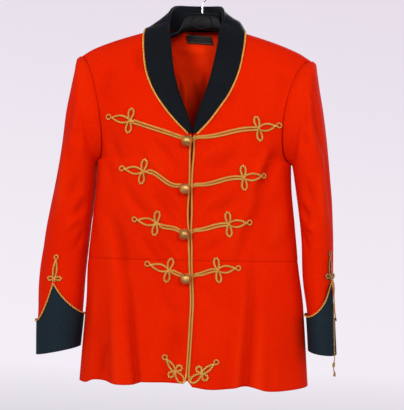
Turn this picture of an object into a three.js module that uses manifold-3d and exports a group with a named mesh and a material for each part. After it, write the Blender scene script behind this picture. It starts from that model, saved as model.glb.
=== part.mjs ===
// A scarlet mess jacket with a hussar front, hanging on a coat hanger.
//
// Millimetres, +Z up. The coat faces -Y and +X is the wearer's left. The origin is where a rail
// bears inside the top of the hanger's hook. Heights are given as drops below that point, and
// x and y are measured from the coat's own middle plane until the last group moves them.
import * as THREE from "three";
import { mergeVertices } from "three/addons/utils/BufferGeometryUtils.js";
import Module from "manifold-3d";

const wasm = await Module();
wasm.setup();

// Driving dimensions
const CLOTH = 2.0; // wall of the wool cloth
const FACING = 1.8; // wall of the green collar and cuffs
const LINING = 0.8;
const SEAM = 0.3; // gap between pieces that are sewn together
const HOOK_AXIS = { x: 10, y: 15 }; // the hook's upright, from the coat's middle plane
const NECK = { x: 66, drop: 91 };
const SHOULDER = { x: 222, y: -3, drop: 153 };
const UNDERARM = { x: 187, y: 0, drop: 352 };
const ARMHOLE = { front: 62, back: 68, frontScoop: 28, backScoop: 16 };
const NAPE_DROP = 92;
const WAIST_DROP = 539;
const HEM_DROP = 775;
const FLATNESS = 2.35; // 2 is an ellipse; more makes a section flatter in front
const CORD = { width: 3.6, height: 2.4, bar: 8.6 };
const BUTTON = { radius: 10.3, x: -8.6, shank: 2.0, stand: 4.4 };
const BUTTON_DROPS = [316, 403, 488, 572];

// Middle of the front and of the back at each level
const TORSO = [
  { drop: 89, front: -24, back: 49 },
  { drop: 120, front: -40, back: 58 },
  { drop: 153, front: -54, back: 64 },
  { drop: 205, front: -70, back: 70 },
  { drop: 260, front: -82, back: 74 },
  { drop: 352, front: -86, back: 76 },
  { drop: 450, front: -80, back: 70 },
  { drop: 539, front: -77, back: 66 },
  { drop: 650, front: -84, back: 74 },
  { drop: 775, front: -92, back: 86 },
];

// Top line of each shoulder, from the neck to the head of the sleeve
const RIDGE = [
  { drop: 88, x: 56 },
  { drop: 91, x: 66 },
  { drop: 101, x: 94 },
  { drop: 112, x: 130 },
  { drop: 124, x: 165 },
  { drop: 139, x: 200 },
  { drop: 153, x: 222 },
];

// Side seams, from the armpit to the hem
const SIDE = [
  { drop: 352, x: 187 },
  { drop: 403, x: 189 },
  { drop: 470, x: 196 },
  { drop: 539, x: 203 },
  { drop: 650, x: 212 },
  { drop: 777, x: 221 },
];

// Inner edge of each front: round the neck, down the roll line, then down the opening
const FRONT_EDGE = [
  { drop: 91, x: 60 },
  { drop: 104, x: 57.5 },
  { drop: 124, x: 55 },
  { drop: 153, x: 50.5 },
  { drop: 190, x: 42.5 },
  { drop: 225, x: 31.5 },
  { drop: 257, x: 19.5 },
  { drop: 288, x: 8 },
  { drop: 303, x: 2.0 },
  { drop: 340, x: 1.8 },
  { drop: 362, x: 0.9 },
  { drop: 384, x: 0.4 },
  { drop: 403, x: 0.5 },
  { drop: 425, x: 1.3 },
  { drop: 450, x: 1.8 },
  { drop: 467, x: 1.2 },
  { drop: 488, x: 0.4 },
  { drop: 510, x: 0.9 },
  { drop: 537, x: 0.4 },
  { drop: 600, x: 0.3 },
  { drop: 775, x: 0.3 },
];

// Hem of the fronts: the wearer's left side hangs a little lower
const HEM = [
  { x: -222, drop: 775 },
  { x: -200, drop: 775 },
  { x: -186, drop: 769 },
  { x: -164, drop: 767 },
  { x: -145, drop: 771 },
  { x: -100, drop: 772 },
  { x: -88, drop: 767 },
  { x: -8, drop: 766 },
  { x: 3, drop: 771 },
  { x: 12, drop: 772 },
  { x: 40, drop: 775.5 },
  { x: 77, drop: 774 },
  { x: 106, drop: 770 },
  { x: 124, drop: 771 },
  { x: 147, drop: 777 },
  { x: 177, drop: 778 },
  { x: 222, drop: 775 },
];

// How the worn coat hangs: its opening has moved towards the wearer's left, the left shoulder is
// lower, and the skirts swing to the left
const OPENING_SHIFT = [
  { drop: 100, shift: 0 },
  { drop: 130, shift: 2.5 },
  { drop: 190, shift: 3 },
  { drop: 257, shift: 5 },
  { drop: 300, shift: 7 },
  { drop: 352, shift: 6 },
  { drop: 403, shift: 4.4 },
  { drop: 450, shift: 3.6 },
  { drop: 488, shift: 4.2 },
  { drop: 530, shift: 5.8 },
  { drop: 600, shift: 6.5 },
  { drop: 680, shift: 4 },
  { drop: 775, shift: 0 },
];
const SHOULDER_TILT = 0.018;
const SKIRT_SWING = 4.5;

// Soft folds that run down the skirts: where each is at the waist and at the hem,
// how far it stands out (or in, when negative) at the hem, and how wide it is
const SKIRT_FOLDS = [
  { face: "front", waist: -150, hem: -127, depth: 11, width: 26 },
  { face: "front", waist: -118, hem: -98, depth: -9, width: 20 },
  { face: "front", waist: -196, hem: -190, depth: -5, width: 14 },
  { face: "front", waist: 112, hem: 98, depth: -7, width: 22 },
  { face: "front", waist: 146, hem: 150, depth: 7, width: 28 },
  { face: "front", waist: 60, hem: 44, depth: 4, width: 30 },
  { face: "back", waist: -140, hem: -150, depth: 9, width: 30 },
  { face: "back", waist: -95, hem: -92, depth: -8, width: 24 },
  { face: "back", waist: -12, hem: -16, depth: 7, width: 34 },
  { face: "back", waist: 74, hem: 84, depth: -8, width: 26 },
  { face: "back", waist: 128, hem: 140, depth: 9, width: 30 },
];

// Each sleeve's rings. outer and inner are its silhouette from the front, front and back its depth
const SLEEVE = {
  left: [
    { outerX: 230, outerDrop: 160, innerX: 189.5, innerDrop: 356, front: -66, back: 70 },
    { outerX: 234, outerDrop: 176, innerX: 190.5, innerDrop: 362, front: -69, back: 72 },
    { outerX: 239, outerDrop: 206, innerX: 192, innerDrop: 370, front: -70, back: 72 },
    { outerX: 247.5, outerDrop: 256, innerX: 194, innerDrop: 382, front: -69, back: 72 },
    { outerX: 257, outerDrop: 326, innerX: 197, innerDrop: 402, front: -66, back: 71 },
    { outerX: 265, outerDrop: 408, innerX: 203, innerDrop: 446, front: -60, back: 68 },
    { outerX: 269, outerDrop: 490, innerX: 209, innerDrop: 500, front: -57, back: 62 },
    { outerX: 270, outerDrop: 574, innerX: 213, innerDrop: 572, front: -58, back: 55 },
    { outerX: 272.5, outerDrop: 650, innerX: 223, innerDrop: 640, front: -59, back: 49 },
    { outerX: 276.5, outerDrop: 713, innerX: 228, innerDrop: 706, front: -60, back: 44 },
  ],
  right: [
    { outerX: 228, outerDrop: 158, innerX: 189.5, innerDrop: 356, front: -66, back: 70 },
    { outerX: 231.5, outerDrop: 174, innerX: 190.5, innerDrop: 362, front: -69, back: 72 },
    { outerX: 237.5, outerDrop: 204, innerX: 191.5, innerDrop: 370, front: -70, back: 72 },
    { outerX: 248, outerDrop: 256, innerX: 192, innerDrop: 382, front: -69, back: 72 },
    { outerX: 259, outerDrop: 326, innerX: 193, innerDrop: 404, front: -64, back: 70 },
    { outerX: 273, outerDrop: 408, innerX: 198, innerDrop: 448, front: -57, back: 64 },
    { outerX: 287, outerDrop: 490, innerX: 203.5, innerDrop: 502, front: -53, back: 57 },
    { outerX: 295, outerDrop: 574, innerX: 210, innerDrop: 574, front: -52, back: 51 },
    { outerX: 299.5, outerDrop: 650, innerX: 214, innerDrop: 640, front: -52, back: 47 },
    { outerX: 299, outerDrop: 728, innerX: 220, innerDrop: 711, front: -53, back: 44 },
  ],
};

// Cuffs: the height of the point, where it is round the sleeve (degrees from its outer side towards
// the front), and how the edge falls from it: its low height, over how many degrees, how steeply
const CUFF = {
  left: {
    point: 140,
    at: 40,
    outer: { low: 64, spread: 45, power: 3 },
    inner: { low: 64, spread: 115, power: 2.5 },
  },
  right: {
    point: 140,
    at: 82,
    outer: { low: 64, spread: 60, power: 3 },
    inner: { low: 72, spread: 106, power: 2.2 },
  },
};

// Frogs on each front: bar from the opening to where the cords cross, then the ring at the far end
const FROGS = {
  left: [
    { bar: [6.8, 308], cross: [126, 289], ring: [169, 280.5], sag: 1.5 },
    { bar: [6.8, 396], cross: [100, 381.5], ring: [140, 377], sag: 2.0 },
    { bar: [6.8, 481], cross: [73, 469], ring: [112, 465.5], sag: 1.0 },
    { bar: [6.8, 564], cross: [51, 555], ring: [91, 550.5], sag: 1.0 },
  ],
  right: [
    { bar: [-16.5, 310], cross: [-115, 279], ring: [-160, 271.5], sag: -1.0 },
    { bar: [-17.5, 398], cross: [-89, 373.5], ring: [-132, 367.5], sag: 4.0 },
    { bar: [-16.5, 484], cross: [-63, 469.5], ring: [-106, 462.5], sag: -2.0 },
    { bar: [-16.5, 566], cross: [-41, 557], ring: [-80, 546], sag: 0 },
  ],
};

// Sizes of the knots that end the frogs and stand over the hem corners and the cuffs
const FROG_KNOT = { loop: 24.5, loopWidth: 14, eye: 35.5, eyeWidth: 17, ring: 4.3 };
const HEM_KNOT = { loop: 16, loopWidth: 11.5, eye: 28, eyeWidth: 12.5, ring: 4.2 };
const SLEEVE_KNOT = { loop: 18, loopWidth: 11.5, eye: 38, eyeWidth: 13, ring: 4.3 };
const EDGE_CORD = { width: 3.6, height: 2.0 };
const RING_CORD = { width: 3.2, height: 2.3 };
const HEM_CORNER = { left: { cross: [27, 746], turn: 40 }, right: { cross: [-24, 744], turn: 50 } };

const lerp = (a, b, t) => a + (b - a) * t;
const clamp = (value, low, high) => Math.min(high, Math.max(low, value));
const radians = (degrees) => (degrees * Math.PI) / 180;
const bell = (distance) => Math.exp(-distance * distance);
const smooth = (t) => t * t * (3 - 2 * t);

// A column of a table at any place between its rows, as a smooth cubic that keeps to their rise
function read(rows, key, column, at) {
  const place = clamp(at, rows[0][key], rows.at(-1)[key]);
  let i = 0;
  while (i < rows.length - 2 && rows[i + 1][key] < place) i += 1;
  const slope = (k) => {
    const before = rows[Math.max(k - 1, 0)];
    const after = rows[Math.min(k + 1, rows.length - 1)];
    return (after[column] - before[column]) / (after[key] - before[key]);
  };
  const [a, b] = [rows[i], rows[i + 1]];
  const span = b[key] - a[key];
  const t = (place - a[key]) / span;
  const ease = smooth(t);
  const bend = t * (1 - t) * span * ((1 - t) * slope(i) - t * slope(i + 1));
  return lerp(a[column], b[column], ease) + bend;
}

// Where a front or back panel ends at its outer side at a given drop: on the shoulder's top line,
// on the armhole, or on the side seam. turn is how far its section has rounded there.
function panelEnd(face, drop) {
  if (drop <= SHOULDER.drop) {
    const x = read(RIDGE, "drop", "x", drop);
    return { x, y: lerp(9, SHOULDER.y, (x - NECK.x) / (SHOULDER.x - NECK.x)), turn: Math.PI / 2 };
  }
  if (drop < UNDERARM.drop) {
    const angle = armholeAngle(drop);
    const edge = armhole(angle, face);
    return { x: edge.x, y: edge.y, turn: Math.PI / 2 - 0.5 * Math.sin(angle) };
  }
  return { x: read(SIDE, "drop", "x", drop), y: UNDERARM.y, turn: Math.PI / 2 };
}

function armholeAngle(drop) {
  const middle = (SHOULDER.drop + UNDERARM.drop) / 2;
  const half = (UNDERARM.drop - SHOULDER.drop) / 2;
  return Math.acos(clamp((middle - drop) / half, -1, 1));
}

// A point of the armhole's edge: angle 0 at the shoulder, half a turn at the armpit
function armhole(angle, face) {
  const [sign, depth, scoop] =
    face === "front"
      ? [-1, ARMHOLE.front, ARMHOLE.frontScoop]
      : [1, ARMHOLE.back, ARMHOLE.backScoop];
  const down = (1 - Math.cos(angle)) / 2;
  return {
    x: lerp(SHOULDER.x, UNDERARM.x, down) - scoop * Math.sin(angle),
    y: lerp(SHOULDER.y, UNDERARM.y, down) + sign * depth * Math.sin(angle),
    drop: lerp(SHOULDER.drop, UNDERARM.drop, down),
  };
}

function foldDepth(face, x, drop) {
  const down = clamp((drop - WAIST_DROP + 30) / (HEM_DROP - WAIST_DROP + 30), 0, 1);
  return SKIRT_FOLDS.filter((fold) => fold.face === face).reduce(
    (sum, fold) =>
      sum + fold.depth * Math.pow(down, 1.4) * bell((x - lerp(fold.waist, fold.hem, down)) / fold.width),
    0,
  );
}

// The cloth's outer face as a depth y over any x and drop: a rounded section from the middle of
// the front or back to the panel's end, with the skirt's folds on it
function surfaceY(face, x, drop) {
  const end = panelEnd(face, drop);
  const middle = read(TORSO, "drop", face, drop);
  const reach = end.x / Math.pow(Math.sin(end.turn), 2 / FLATNESS);
  const depth = (end.y - middle) / (1 - Math.pow(Math.cos(end.turn), 2 / FLATNESS));
  const across = clamp(Math.abs(x) / reach, 0, 1);
  const fall = 1 - Math.pow(1 - Math.pow(across, FLATNESS), 1 / FLATNESS);
  const inFromSide = smooth(clamp((end.x - Math.abs(x)) / 40, 0, 1));
  const sign = face === "front" ? -1 : 1;
  return middle + depth * fall + sign * foldDepth(face, x, drop) * inFromSide;
}

const readRidge = (x) => read(RIDGE, "x", "drop", Math.abs(x));

// A point on the cloth, and the way out of it, for trims that lie on the panel
function onPanel(face, x, drop, lift = 0) {
  const step = 1.5;
  const y = surfaceY(face, x, drop);
  const alongX = (surfaceY(face, x + step, drop) - surfaceY(face, x - step, drop)) / (2 * step);
  const alongZ = -(surfaceY(face, x, drop + step) - surfaceY(face, x, drop - step)) / (2 * step);
  const sign = face === "front" ? -1 : 1;
  const normal = new THREE.Vector3(-alongX, 1, -alongZ).normalize().multiplyScalar(sign);
  return { point: new THREE.Vector3(x, y, -drop).addScaledVector(normal, lift), normal };
}

// Moves a point of the even coat to where it hangs. The sleeves don't swing with the skirts.
function hang(p, swings) {
  const drop = -p.z;
  const inside = 1 - Math.min(1, (p.x / 190) ** 2);
  const tilt = SHOULDER_TILT * (1 - smooth(clamp((drop - SHOULDER.drop) / 350, 0, 1)));
  const swing = swings ? SKIRT_SWING * smooth(clamp((drop - WAIST_DROP) / 90, 0, 1)) : 0;
  p.z -= tilt * p.x;
  p.x += read(OPENING_SHIFT, "drop", "shift", drop) * inside * inside + swing;
}

// Geometry from a list of points and a list of index triples
function geometryOf(points, triangles) {
  const positions = new Float32Array(points.flatMap((p) => [p.x, p.y, p.z]));
  return new THREE.BufferGeometry()
    .setAttribute("position", new THREE.BufferAttribute(positions, 3))
    .setIndex(triangles.flat());
}

// Closed wall over a grid of outer points: an inner sheet moved in by its thickness, and the rims.
// loop joins the last column to the first, as on a sleeve. limit keeps an inner point of row i
// on its own side of a seam.
function wall(grid, thickness, { loop = false, flip = false, limit = () => {} } = {}) {
  const rows = grid.length;
  const columns = grid[0].length;
  const cells = loop ? columns : columns - 1;
  const before = (k) => (loop ? (k + columns - 1) % columns : Math.max(k - 1, 0));
  const after = (k) => (loop ? (k + 1) % columns : Math.min(k + 1, columns - 1));
  const normalAt = (i, j) => {
    const down = grid[Math.min(i + 1, rows - 1)][j].clone().sub(grid[Math.max(i - 1, 0)][j]);
    const across = grid[i][after(j)].clone().sub(grid[i][before(j)]);
    return across.cross(down).normalize().multiplyScalar(flip ? 1 : -1);
  };
  const outer = grid.flat();
  const inner = grid.flatMap((row, i) =>
    row.map((p, j) => {
      const moved = p.clone().addScaledVector(normalAt(i, j), -thickness);
      limit(i, moved);
      return moved;
    }),
  );
  const index = (layer, i, j) => layer * rows * columns + i * columns + (j % columns);
  const triangles = [];
  const quad = (a, b, c, d) => {
    const order = flip ? [a, c, b, a, d, c] : [a, b, c, a, c, d];
    triangles.push(order);
  };
  for (let i = 0; i < rows - 1; i += 1)
    for (let j = 0; j < cells; j += 1) {
      quad(index(0, i, j), index(0, i + 1, j), index(0, i + 1, j + 1), index(0, i, j + 1));
      quad(index(1, i, j), index(1, i, j + 1), index(1, i + 1, j + 1), index(1, i + 1, j));
    }
  for (let j = 0; j < cells; j += 1) {
    quad(index(0, 0, j), index(0, 0, j + 1), index(1, 0, j + 1), index(1, 0, j));
    const last = rows - 1;
    quad(index(0, last, j + 1), index(0, last, j), index(1, last, j), index(1, last, j + 1));
  }
  if (!loop)
    for (let i = 0; i < rows - 1; i += 1) {
      quad(index(0, i + 1, 0), index(0, i, 0), index(1, i, 0), index(1, i + 1, 0));
      const last = columns - 1;
      quad(index(0, i, last), index(0, i + 1, last), index(1, i + 1, last), index(1, i, last));
    }
  return geometryOf([...outer, ...inner], triangles);
}

const spread = (count) => Array.from({ length: count + 1 }, (_, k) => k / count);

// Levels of the panels' rows: shoulder, then one for each ring point of the armhole, then the body
const ARM_STEPS = 8;
const ARM_DROPS = spread(ARM_STEPS).map(
  (t) => lerp(SHOULDER.drop, UNDERARM.drop, (1 - Math.cos(Math.PI * t)) / 2),
);
const BODICE_DROPS = [91, 101, 112, 124, 139, ...ARM_DROPS, 400, 450, 496, WAIST_DROP - SEAM / 2];
const SKIRT_DROPS = [WAIST_DROP + SEAM / 2, 585, 635, 690, 740, HEM_DROP];

// One row of a panel from x0 to its outer end, spaced by the section's angle so that it rounds well
function panelRow(face, drop, fromX, side, steps, dropAt = () => drop) {
  const end = panelEnd(face, drop);
  const reach = end.x / Math.pow(Math.sin(end.turn), 2 / FLATNESS);
  const startAngle = Math.asin(Math.pow(clamp(fromX / reach, 0, 1), FLATNESS / 2));
  const seam = (face === "front" ? -1 : 1) * (SEAM / 2);
  return spread(steps).map((t) => {
    const angle = lerp(startAngle, end.turn, t);
    const x = side * reach * Math.pow(Math.sin(angle), 2 / FLATNESS);
    const atSeam = t === 1 ? seam : 0;
    return new THREE.Vector3(x, surfaceY(face, x, drop) + atSeam, -dropAt(t));
  });
}

// The rounded lower corner of a front: how far the hem is lifted near the opening
function hemLift(x) {
  const corner = 9;
  const short = 1 - clamp((Math.abs(x) - 1) / corner, 0, 1);
  return corner * (1 - Math.sqrt(1 - short * short));
}

function frontPanel(side, drops, steps, hem = false) {
  const grid = drops.map((drop) => {
    const row = panelRow("front", drop, read(FRONT_EDGE, "drop", "x", drop), side, steps);
    if (hem && drop === HEM_DROP)
      row.forEach((p) => {
        p.z = hemLift(p.x) - read(HEM, "x", "drop", p.x);
        p.y = surfaceY("front", p.x, -p.z) - (p.y > -25 ? SEAM / 2 : 0);
      });
    return side > 0 ? row : row.reverse();
  });
  const seam = side > 0 ? grid[0].length - 1 : 0;
  return wall(grid, CLOTH, { limit: (i, p) => (p.y = Math.min(p.y, grid[i][seam].y)) });
}

function backPanel(drops, steps, neck = false) {
  const grid = drops.map((drop, i) => {
    const rise = neck && i === 0 ? NAPE_DROP - drop : 0;
    const dropAt = (t) => drop + rise * (1 - t * t);
    const half = (side) => panelRow("back", drop, 0, side, steps, dropAt);
    return [...half(1).reverse(), ...half(-1).slice(1)];
  });
  return wall(grid, CLOTH, { limit: (i, p) => (p.y = Math.max(p.y, grid[i][0].y)) });
}

// A sleeve's outer face. along runs 0 to 1 from the armhole to the hem, turn is the angle round it
// from the outer side (0) by the front (a quarter) to the body side (a half).
function onSleeve(wearer, along, turn, lift = 0) {
  const step = 0.004;
  const place = (a, t) => sleevePoint(wearer, clamp(a, 0, 1), t);
  const point = place(along, turn);
  const down = place(along + step, turn).sub(place(along - step, turn));
  const round = place(along, turn + step * 4).sub(place(along, turn - step * 4));
  const normal = round.cross(down).normalize();
  if (wearer === "right") normal.negate();
  return { point: point.addScaledVector(normal, lift), normal };
}

const outerLength = (wearer) => SLEEVE[wearer].at(-1).outerDrop - SLEEVE[wearer][0].outerDrop;
const sleeveLength = (wearer) => outerLength(wearer) / (1 - RING_SHARE);
const RING_SHARE = 0.04; // how much of the sleeve's length the first ring takes up after the armhole

function sleevePoint(wearer, along, turn) {
  const side = wearer === "left" ? 1 : -1;
  const rows = SLEEVE[wearer].map((row, i, all) => ({
    ...row,
    along: lerp(RING_SHARE, 1, (row.outerDrop - all[0].outerDrop) / outerLength(wearer)),
  }));
  const ring = (a) => {
    const value = (column) => read(rows, "along", column, a);
    const outerShare = (1 + Math.cos(turn)) / 2;
    const across = Math.sin(turn);
    const middle = (value("front") + value("back")) / 2;
    const half = (value("back") - value("front")) / 2;
    return new THREE.Vector3(
      lerp(value("innerX"), value("outerX"), outerShare),
      middle - half * Math.sign(across) * Math.pow(Math.abs(across), 0.9),
      -lerp(value("innerDrop"), value("outerDrop"), outerShare),
    );
  };
  const wrapped = THREE.MathUtils.euclideanModulo(turn, 2 * Math.PI);
  const front = wrapped <= Math.PI;
  const edge = armhole(front ? wrapped : 2 * Math.PI - wrapped, front ? "front" : "back");
  const down = (1 - Math.cos(wrapped)) / 2;
  const start = new THREE.Vector3(edge.x + SEAM + 0.1 + 0.8 * down, edge.y, -edge.drop);
  const share = clamp(along / RING_SHARE, 0, 1);
  const point = along < RING_SHARE ? start.lerp(ring(RING_SHARE), share) : ring(along);
  point.x *= side;
  return point;
}

function sleeve(wearer) {
  const steps = 2 * ARM_STEPS;
  const rings = [0, RING_SHARE, 0.1, 0.19, 0.31, 0.44, 0.57, 0.7, 0.85, 1];
  const grid = rings.map((along) =>
    Array.from({ length: steps }, (_, k) => sleevePoint(wearer, along, (2 * Math.PI * k) / steps)),
  );
  return wall(grid, CLOTH, { loop: true, flip: wearer === "left" });
}

// Height of a cuff above the sleeve's hem at an angle round it: low all round, with one tall point
function cuffHeight(wearer, turn) {
  const { point, at, outer, inner } = CUFF[wearer];
  const full = 2 * Math.PI;
  const ahead = THREE.MathUtils.euclideanModulo(turn - radians(at), full);
  const side = ahead < Math.PI ? inner : outer;
  const away = Math.min(ahead, full - ahead);
  const low = lerp(side.low, (inner.low + outer.low) / 2, smooth(away / Math.PI));
  return lerp(low, point, Math.pow(clamp(1 - away / radians(side.spread), 0, 1), side.power));
}

const CUFF_LIFT = 1.3 + FACING;

function cuff(wearer) {
  const steps = 28;
  const levels = [1, 0.5, 0];
  const at = radians(CUFF[wearer].at);
  const grid = levels.map((level) =>
    Array.from({ length: steps }, (_, k) => {
      const turn = at + (2 * Math.PI * k) / steps;
      const along = 1.001 - (level * cuffHeight(wearer, turn)) / sleeveLength(wearer);
      return onSleeve(wearer, along, turn, CUFF_LIFT).point;
    }),
  );
  return wall(grid, FACING, { loop: true, flip: wearer === "left" });
}

// A flat strip of cord laid on a surface. path holds pairs in the surface's own two directions,
// place(u, v, lift) puts a pair in space, and rise(t) lifts the cord where it crosses another.
function strip(path, place, options = {}) {
  const { width = CORD.width, height = CORD.height, closed = false, rise = () => 0 } = options;
  const count = path.length;
  const sections = path.map(([u, v], i) => {
    const next = path[closed ? (i + 1) % count : Math.min(i + 1, count - 1)];
    const last = path[closed ? (i + count - 1) % count : Math.max(i - 1, 0)];
    const along = new THREE.Vector2(next[0] - last[0], next[1] - last[1]).normalize();
    const half = (typeof width === "function" ? width(i / (count - 1)) : width) / 2;
    const left = [u - along.y * half, v + along.x * half];
    const right = [u + along.y * half, v - along.x * half];
    const low = SEAM + 0.1 + rise(i / (count - 1));
    const high = low + height;
    return [place(...left, low), place(...right, low), place(...right, high), place(...left, high)];
  });
  const triangles = [];
  const lastJoin = closed ? count : count - 1;
  for (let i = 0; i < lastJoin; i += 1)
    for (let k = 0; k < 4; k += 1) {
      const [a, b] = [i * 4 + k, i * 4 + ((k + 1) % 4)];
      const [c, d] = [((i + 1) % count) * 4 + ((k + 1) % 4), ((i + 1) % count) * 4 + k];
      triangles.push([a, b, c, a, c, d]);
    }
  if (!closed) {
    const e = (count - 1) * 4;
    triangles.push([0, 2, 1, 0, 3, 2], [e, e + 1, e + 2, e, e + 2, e + 3]);
  }
  return geometryOf(sections.flat(), triangles);
}

function solid(geometry) {
  const plain = geometry.clone();
  plain.deleteAttribute("normal");
  plain.deleteAttribute("uv");
  const merged = mergeVertices(plain, 1e-4);
  const triVerts = new Uint32Array(merged.index.array);
  let made = new wasm.Manifold(
    new wasm.Mesh({ numProp: 3, vertProperties: merged.attributes.position.array, triVerts }),
  );
  if (made.volume() < 0) {
    for (let i = 0; i < triVerts.length; i += 3)
      [triVerts[i + 1], triVerts[i + 2]] = [triVerts[i + 2], triVerts[i + 1]];
    made = new wasm.Manifold(
      new wasm.Mesh({ numProp: 3, vertProperties: merged.attributes.position.array, triVerts }),
    );
  }
  return made;
}

function geometryFrom(manifold) {
  const mesh = manifold.getMesh();
  return new THREE.BufferGeometry()
    .setAttribute("position", new THREE.BufferAttribute(new Float32Array(mesh.vertProperties), 3))
    .setIndex([...mesh.triVerts]);
}

// Union of solids, without the slivers that nearly touching faces leave
function joined(geometries) {
  const sum = geometries.map(solid).reduce((whole, next) => whole.add(next));
  const bodies = sum.simplify(0.25).decompose();
  return geometryFrom(bodies.sort((a, b) => b.volume() - a.volume())[0]);
}

// Flat shapes of a knot, as pairs (out, across) from where its cords cross
const teardrop = (length, width, steps = 8) =>
  spread(steps)
    .slice(0, -1)
    .map((t) => [
      1.3 * (width / 2) * Math.sin(2 * Math.PI * t) * Math.sin(Math.PI * t),
      1.6 + ((length - 1.6) * (1 - Math.cos(2 * Math.PI * t))) / 2,
    ]);
const lens = (from, to, width, steps = 8) =>
  spread(steps)
    .slice(0, -1)
    .map((t) => [
      lerp(from, to, (1 - Math.cos(2 * Math.PI * t)) / 2),
      (width / 2) * Math.sign(0.5 - t) * Math.pow(Math.abs(Math.sin(2 * Math.PI * t)), 1.1),
    ]);
const circle = (centre, radius, steps = 6) =>
  Array.from({ length: steps }, (_, k) => {
    const a = (2 * Math.PI * k) / steps;
    return [centre + radius * Math.cos(a), radius * Math.sin(a)];
  });

// The knot's strips: two side loops, a pointed eye and the ring at its tip. lay(out, across, lift)
// puts its flat shape on the cloth.
function knotStrips(knot, lay) {
  const ringCentre = knot.eye + knot.ring + CORD.width / 2 - 1.2;
  const loop = (side) =>
    teardrop(knot.loop - CORD.width / 2, knot.loopWidth - CORD.width).map(([o, a]) => [o, side * a]);
  const eye = lens(3, knot.eye - 1, knot.eyeWidth - CORD.width);
  return [
    strip(loop(1), lay, { closed: true }),
    strip(loop(-1), lay, { height: 2.55, closed: true }),
    strip(eye, lay, { height: 2.8, closed: true }),
    strip(circle(ringCentre, knot.ring), lay, { ...RING_CORD, closed: true }),
    strip([[-3.2, 0], [3.6, 0]], lay, { width: 6.4, height: 2.2 }),
  ];
}

// Lays a flat shape on a front with its middle at cross and its long way turned by an angle
const onFront = (cross, turn) => (out, across, lift) => {
  const [c, s] = [Math.cos(turn), Math.sin(turn)];
  const x = cross[0] + out * c - across * s;
  const drop = cross[1] - out * s - across * c;
  return onPanel("front", x, drop, lift).point;
};

function frog(wearer, row, buttonDrop) {
  const place = (x, drop, lift) => onPanel("front", x, drop, lift).point;
  const [from, cross, ring] = [row.bar, row.cross, row.ring];
  const turn = Math.atan2(cross[1] - ring[1], ring[0] - cross[0]);
  const bar = spread(6).map((t) => [
    lerp(from[0], cross[0], t),
    lerp(from[1], cross[1], smooth(t) * 0.35 + t * 0.65) + row.sag * Math.sin(2 * Math.PI * t),
  ]);
  const parts = [
    strip(bar, place, { width: CORD.bar, height: 2.6 }),
    ...knotStrips(FROG_KNOT, onFront(cross, turn)),
  ];
  if (wearer === "left") parts.push(buttonLoop(from, buttonDrop, place));
  return joined(parts);
}

// The end of a left frog, opened out into a loop that passes over the edges and round the shank
function buttonLoop(from, drop, place) {
  const radius = BUTTON.shank + 1.3;
  const over = EDGE_CORD.height + SEAM; // it crosses the cords on both edges
  const round = spread(6).map((t) => {
    const a = radians(72 + 216 * t);
    return [BUTTON.x + radius * Math.cos(a), drop - radius * Math.sin(a)];
  });
  const path = [[from[0] + 3, from[1] - 1.5], [1, lerp(from[1], drop, 0.5) - 1.5], ...round];
  path.push([1, lerp(from[1], drop, 0.5) + 1.9], [from[0] + 3, from[1] + 1.5]);
  return strip(path, place, { width: 1.9, height: 1.7, rise: () => over });
}

function hemKnot(wearer) {
  const side = wearer === "left" ? 1 : -1;
  const corner = HEM_CORNER[wearer];
  const turn = side > 0 ? radians(corner.turn) : Math.PI - radians(corner.turn);
  const lay = onFront(corner.cross, turn);
  const tail = [-27.5, -2.5];
  const lowerEye = lens(tail[0], tail[1], 11);
  const place = (x, drop, lift) => onPanel("front", x, drop, lift).point;
  const [c, s] = [Math.cos(turn), Math.sin(turn)];
  const start = [corner.cross[0] + tail[0] * c, corner.cross[1] - tail[0] * s];
  const link = [[side * 3.3, 755.7], [side * 3.6, 760], start];
  return joined([
    ...knotStrips(HEM_KNOT, lay),
    strip(lowerEye, lay, { height: 2.65, closed: true }),
    strip(link, place, { height: 2.2 }),
  ]);
}

// Cord along an edge of the fronts and round the collar
function edgeCord(side) {
  const inset = 2.0;
  const drops = [304, 316, 338, 360, 382, 403, 425, 446, 467, 488, 509, 530, 551, 572, 616, 660, 710, 755];
  const path = drops.map((drop) => [side * (read(FRONT_EDGE, "drop", "x", drop) + inset), drop]);
  return strip(path, (x, drop, lift) => onPanel("front", x, drop, lift).point, EDGE_CORD);
}

function cuffCord(wearer) {
  const steps = 30;
  const at = CUFF[wearer].at;
  const path = Array.from({ length: steps }, (_, k) => {
    const away = (k / steps) * 2 - 1;
    const turn = radians(at) + Math.PI * Math.sign(away) * Math.pow(Math.abs(away), 1.3);
    return turn;
  }).map((turn) => [turn, cuffHeight(wearer, turn)]);
  const place = (turn, height, lift) =>
    onSleeve(wearer, 1 - height / sleeveLength(wearer), turn, lift - SEAM).point;
  const low = CUFF_LIFT + SEAM * 3;
  const sections = path.map(([turn, height]) => [
    place(turn, height - 1.8, low),
    place(turn, height + 1.8, low),
    place(turn, height + 1.8, low + CORD.height),
    place(turn, height - 1.8, low + CORD.height),
  ]);
  return ringOf(sections);
}

// Closes a ring of equal sections into one solid
function ringOf(sections) {
  const size = sections[0].length;
  const count = sections.length;
  const triangles = [];
  for (let i = 0; i < count; i += 1)
    for (let k = 0; k < size; k += 1) {
      const next = (k + 1) % size;
      const [a, b] = [i * size + k, i * size + next];
      const [c, d] = [((i + 1) % count) * size + next, ((i + 1) % count) * size + k];
      triangles.push([a, b, c, a, c, d]);
    }
  return geometryFrom(solid(geometryOf(sections.flat(), triangles)));
}

function sleeveKnot(wearer) {
  const { point, at } = CUFF[wearer];
  const radius = 52;
  const base = point + 9;
  const lay = (out, across, lift) => {
    const turn = radians(at) + across / radius;
    return onSleeve(wearer, 1 - (base + out) / sleeveLength(wearer), turn, lift).point;
  };
  return joined([...knotStrips(SLEEVE_KNOT, lay), strip([[-6.2, 0], [0, 0]], lay, { width: 5.2 })]);
}

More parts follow.
